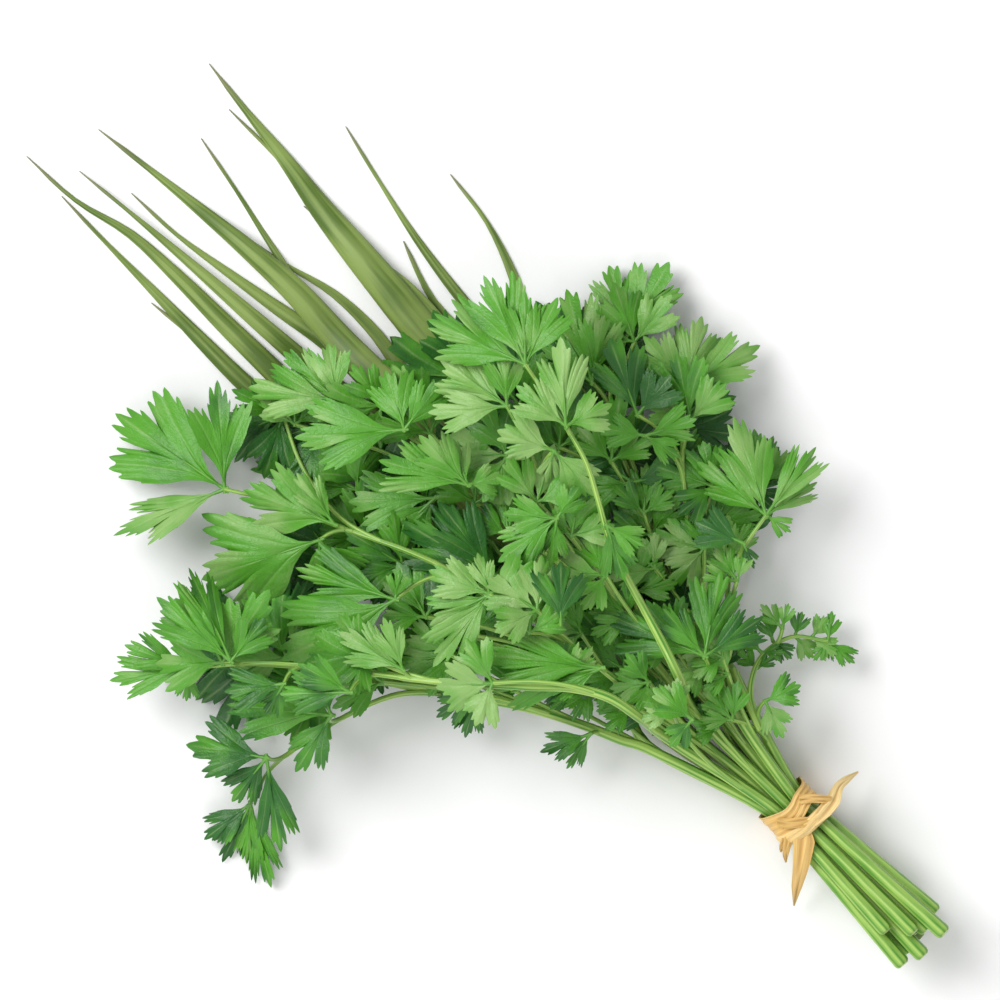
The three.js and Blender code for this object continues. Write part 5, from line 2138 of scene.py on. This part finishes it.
def ribbon(
    skin: Skin, middle: Array, across: Array, up: Array, width: Array, relief: Array, thick: float,
    closed: bool = False, tone: float = 0.5,
) -> None:
    """Adds a thin strip with a relief on it.

    Args:
        skin: What it is added to.
        middle: The points of its middle line.
        across: The direction across it at each.
        up: The direction out of its face at each.
        width: Its width at each.
        relief: How far its face stands out at each point, with a row for each point of the middle line.
        thick: Its thickness.
        closed: Whether its end joins its start.
        tone: How pale it is.
    """
    rows, sides = relief.shape
    v = np.linspace(-1, 1, sides)
    face = middle[:, None] + across[:, None] * (v[None] * width[:, None] / 2)[..., None]
    along = travelled(middle)
    bend = relief - 0.5 * (np.roll(relief, 2, axis=1) + np.roll(relief, -2, axis=1))
    marks = {
        "turn": np.broadcast_to(v * 0.5, relief.shape).ravel(),
        "reach": np.broadcast_to(along[:, None], relief.shape).ravel(),
        # On raffia the vein mark is how far the face dips below its sides there, where the finish paints
        # shade.
        "vein": np.clip(-bend * 4.0, 0, 1).ravel(),
        "tone": np.full(relief.size, tone),
    }
    numbers = []
    for lift, flip in ((relief, True), (relief - thick, False)):
        first = skin.add((face + up[:, None] * lift[..., None]).reshape(-1, 3), **marks)
        number = first + np.arange(rows * sides).reshape(rows, sides)
        if closed:
            number = np.vstack([number, number[:1]])
        corners = np.stack([number[:-1, :-1], number[1:, :-1], number[1:, 1:], number[:-1, 1:]], axis=-1)
        skin.face(corners.reshape(-1, 4)[:, ::-1] if flip else corners.reshape(-1, 4), Part.FACE)
        numbers.append(number)
    upper, lower = numbers
    lines = [(upper[:, 0], lower[:, 0]), (upper[::-1, -1], lower[::-1, -1])]
    if not closed:
        lines += [(upper[0, ::-1], lower[0, ::-1]), (upper[-1], lower[-1])]
    for high, low in lines:
        skin.face(np.stack([high[:-1], high[1:], low[1:], low[:-1]], axis=1), Part.FACE)


@dataclass
class RaffiaTie:
    """The raffia: a broad gathered turn, a rolled one across it, a loop and loose ends."""

    name: str = "raffia_strips"
    steps: int = 120
    strip_steps: int = 10
    thick: float = 0.3
    level: float = 0.35
    corner: float = 1.6
    front: float = 6.3
    back: float = -0.9

    def ring(self, grow: float) -> tuple[Array, ...]:
        """The line round the bundle, pressed level by the table.

        Args:
            grow: How far it is grown outwards.

        Returns:
            Its places across and up, the direction out of it and the share to which each is on top.
        """
        turn = 2 * np.pi * np.arange(self.steps) / self.steps - np.pi / 2
        c = np.cos(turn)
        s = np.sin(turn)
        bulge = (np.abs(c)**BAND_SQUARE + np.abs(s)**BAND_SQUARE)**(-1 / BAND_SQUARE)
        y = (BAND_HALF[0] + grow) * c * bulge
        z = np.maximum(self.level, TIE_MIDDLE + (BAND_HALF[1] + grow) * s * bulge)
        out_y = np.sign(c) * np.abs(c)**self.corner
        out_z = np.sign(s) * np.abs(s)**self.corner
        out = np.stack([0 * c, out_y, out_z], axis=1)
        out /= np.linalg.norm(out, axis=1)[:, None]
        return y, z, out, smooth_step(TIE_MIDDLE - 2, TIE_MIDDLE + 7, z)

    def round_turn(
        self, skin: Skin, front: Array, back: Array, relief: Array, grow: float, tone: float,
    ) -> None:
        """Adds a turn of raffia round the bundle.

        Args:
            skin: What it is added to.
            front: Its front edge along the bunch, at each point of the ring.
            back: Its back edge.
            relief: How far its face stands out.
            grow: How far out it lies.
            tone: How pale it is.
        """
        y, z, out, _ = self.ring(grow)
        middle = np.stack([(front + back) / 2, y, z], axis=1)
        across = np.broadcast_to((1.0, 0.0, 0.0), middle.shape)
        ribbon(skin, middle, across, out, front - back, relief, self.thick, closed=True, tone=tone)

    def folds(self, y: Array, v: Array, folds: Sequence[Fold]) -> Array:
        """The relief of folds that run across the bundle.

        Args:
            y: The places of the strip's points across the bundle.
            v: Their places across the strip.
            folds: The folds.

        Returns:
            How far the strip's face stands out at each point.
        """
        place = 0.5 + y[:, None] / 16
        high = np.zeros((len(y), len(v)))
        for fold in folds:
            line = fold.start + (fold.end - fold.start) * place
            high += fold.high * np.exp(-((v[None] - line) / fold.wide)**2)
        return high

    def broad_turn(self, skin: Skin) -> None:
        """Adds the first turn: broad, smooth, and gathered on top towards the knot.

        Args:
            skin: What it is added to.
        """
        y, _, _, top = self.ring(0.4)
        v = np.linspace(-1, 1, 33)
        gather = 2.9 * np.exp(-((y - 0.5) / 5.2)**2) + 1.0 * (y < -2) * smooth_step(2, 7, -y)
        front = self.front - top * gather
        back = self.back + top * (0.9 * smooth_step(0, 6, -y) - 0.9 * np.exp(-((y - 2) / 4)**2))
        relief = 0.12 + self.folds(y, v, (
            Fold(0.75, 0.45, 0.16, 0.34), Fold(0.25, -0.15, 0.14, 0.26),
            Fold(-0.35, -0.6, 0.2, 0.42), Fold(-0.95, -0.9, 0.12, 0.3), Fold(1.0, 1.0, 0.09, 0.16),
        )) * (0.35 + 0.65 * top[:, None])
        relief += 0.05 * np.sin(9 * v[None] + 0.5 * y[:, None]) * np.sin(1.1 * y[:, None])
        self.round_turn(skin, front, back, relief, 0.4, 0.45)

    def rolled_turn(self, skin: Skin) -> None:
        """Adds the second turn: narrower, rolled on itself, slanting over the back edge of the first.

        Args:
            skin: What it is added to.
        """
        y, _, _, top = self.ring(0.5)
        v = np.linspace(-1, 1, 21)
        slant = np.interp(y, (-9.0, -6.5, -3.0, 1.0, 5.0, 8.5), (-3.6, -3.9, -3.8, -3.7, -2.7, -1.6))
        middle = top * slant + (1 - top) * (WRAP_X + WRAP_SLANT * y)
        half = 1.3 + 0.5 * top
        plump = np.sqrt(np.clip(1 - v**2, 0, 1))
        relief = 0.05 + (0.45 + 0.85 * top[:, None]) * plump[None]
        relief += 0.13 * np.cos(7 * v[None] + 0.55 * y[:, None]) * plump[None]
        # The rolled turn's higher tone makes it paler, in part a painted highlight along the roll.
        self.round_turn(skin, middle + half, middle - half, relief, 0.35, 0.75)

    def strip(self, skin: Skin, plan: StripPlan) -> None:
        """Adds a loose strip with a ridge and folds along it.

        Args:
            skin: What it is added to.
            plan: Where it runs and how it lies.
        """
        draw = Draws(plan.seed)
        points = np.array(plan.points, float)
        line, wide = refined(points, self.strip_steps, np.array(plan.widths, float))
        level, up = crosswise(line)
        lean = plan.lean * math.pi / 2
        across = level * math.cos(lean) + up * math.sin(lean)
        out = up * math.cos(lean) - level * math.sin(lean)
        v = np.linspace(-1, 1, 13)
        share = np.linspace(0, 1, len(line))[:, None]
        ridge = draw(-0.5, 0.0) + draw(0.2, 0.7) * share
        relief = plan.cup * v[None]**2 + 0.3 * np.exp(-((v[None] - ridge) / 0.22)**2)
        relief += 0.12 * np.sin(6 * v[None] + draw(3, 6) * share + draw(0, 6))
        relief *= np.minimum(1, wide / 2.4)[:, None]
        ribbon(skin, line, across, out, wide, relief, self.thick * 0.9, tone=plan.tone)

    def build(self, finish: Material) -> Piece:
        """Builds the tie as one piece.

        Args:
            finish: Its material.

        Returns:
            The piece.
        """
        skin = Skin()
        self.broad_turn(skin)
        self.rolled_turn(skin)
        for plan in RAFFIA_STRIPS:
            self.strip(skin, plan)
        return skin.piece(self.name, [finish], sharp=55.0)


# ---- Studio ----


@dataclass(frozen=True)
class Studio:
    """The pale floor, the soft light and the camera straight above."""

    lens: float = 400.0
    sensor: float = 36.0
    across: float = 0.250
    level: float = 0.010
    centre: Place = (108.2, -3.2)
    turn: float = 225.0
    sky_strength: float = 0.55
    floor_half: float = 3.0

    def floor(self) -> None:
        """Adds the floor."""
        half = self.floor_half
        mesh = bpy.data.meshes.new("floor")
        corners = [(-half, -half, 0), (half, -half, 0), (half, half, 0), (-half, half, 0)]
        mesh.from_pydata(corners, [], [(0, 1, 2, 3)])
        mesh.materials.append(FloorFinish().material())
        obj = put_in_scene("floor", mesh)

    def light(self, name: str, place: Sequence[float], size: float, power: float) -> None:
        """Adds a soft square light that looks at the origin.

        Args:
            name: Its name.
            place: Where it is, in metres.
            size: Its width.
            power: Its power in watts.
        """
        lamp = bpy.data.lights.new(name, "AREA")
        lamp.size = size
        lamp.energy = power
        obj = put_in_scene(name, lamp)
        obj.location = place
        obj.rotation_euler = Vector(place).to_track_quat("Z", "Y").to_euler()

    def sky(self) -> None:
        """Sets the even light from all round."""
        world = bpy.data.worlds.new("studio")
        world.use_nodes = True
        background = world.node_tree.nodes["Background"]
        background.inputs["Color"].default_value = (1.0, 1.0, 1.0, 1.0)
        background.inputs["Strength"].default_value = self.sky_strength
        bpy.context.scene.world = world
        bpy.context.scene.view_settings.view_transform = "Standard"

    def camera(self) -> None:
        """Adds the camera above the bunch, turned so that the tie is at the lower right."""
        data = bpy.data.cameras.new("camera")
        data.lens = self.lens
        data.sensor_width = self.sensor
        data.clip_end = 20.0
        obj = put_in_scene("camera", data)
        away = self.across * self.lens / self.sensor
        x, y = (np.array(self.centre) + SHIFT[:2]) * MM
        obj.location = (x, y, self.level + away)
        obj.rotation_euler = (0.0, 0.0, math.radians(self.turn))
        bpy.context.scene.camera = obj

    def set_up(self) -> None:
        """Sets up floor, lights and camera."""
        self.floor()
        self.sky()
        self.light("key", place=(1.1, 0.3, 1.3), size=1.1, power=26.0)
        self.light("fill", place=(-0.9, 0.9, 1.4), size=1.6, power=10.0)
        self.camera()


def seat(piece: Piece, node: str, slot: str) -> None:
    """Ties a piece to the body, and reports it.

    Args:
        piece: The piece.
        node: The node that it stands for.
        slot: The slot that its finish is of; not used.
    """
    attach(piece, "root")
    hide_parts(node)
    faces = sum(len(polygon.vertices) - 2 for polygon in piece.data.polygons)
    low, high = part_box(node)
    corners = np.array([vertex.co for vertex in piece.data.vertices])
    past = np.maximum(np.array(low) - corners.min(axis=0), corners.max(axis=0) - np.array(high)) / MM
    log.info("%s: %d triangles, at most %.1f mm past its solid", piece.name, faces, past.max())


def main() -> None:
    """Builds the bunch and the studio."""
    logging.basicConfig(level=logging.INFO, format="%(message)s")
    pile = Pile()
    bundle = Pile()
    for plan in (*ONION_STALKS, *LEAFY_STEMS):
        path, width = lower_stem(plan.seat, plan.cut, 2 * STEM_RADIUS)
        bundle.lay_tube(path, width, width)
    stem = PARSLEY_STEM.material()
    cut = CutFinish().material()
    leafy = [LEAF_FACE.material(), LEAF_UNDERSIDE.material(), stem, cut]
    onion = OnionFinish().material()
    stalks = [OnionStalk(plan) for plan in ONION_STALKS]
    for stalk in stalks:
        stalk.lay(pile)
        seat(stalk.build([onion, onion, onion, cut]), stalk.plan.name, "onion_leaf")
    stems = [LeafyStem(plan, order) for order, plan in enumerate(LEAFY_STEMS)]
    for leafy_stem in stems:
        leafy_stem.lay(pile, bundle)
    InnerLeaves().lay(pile, stems, stalks)
    for leafy_stem in stems:
        seat(leafy_stem.build(leafy), leafy_stem.plan.name, "parsley")
    seat(RaffiaTie().build(RaffiaFinish().material()), "raffia_tie", "raffia")
    Studio().set_up()


if __name__ == "__main__":
    main()
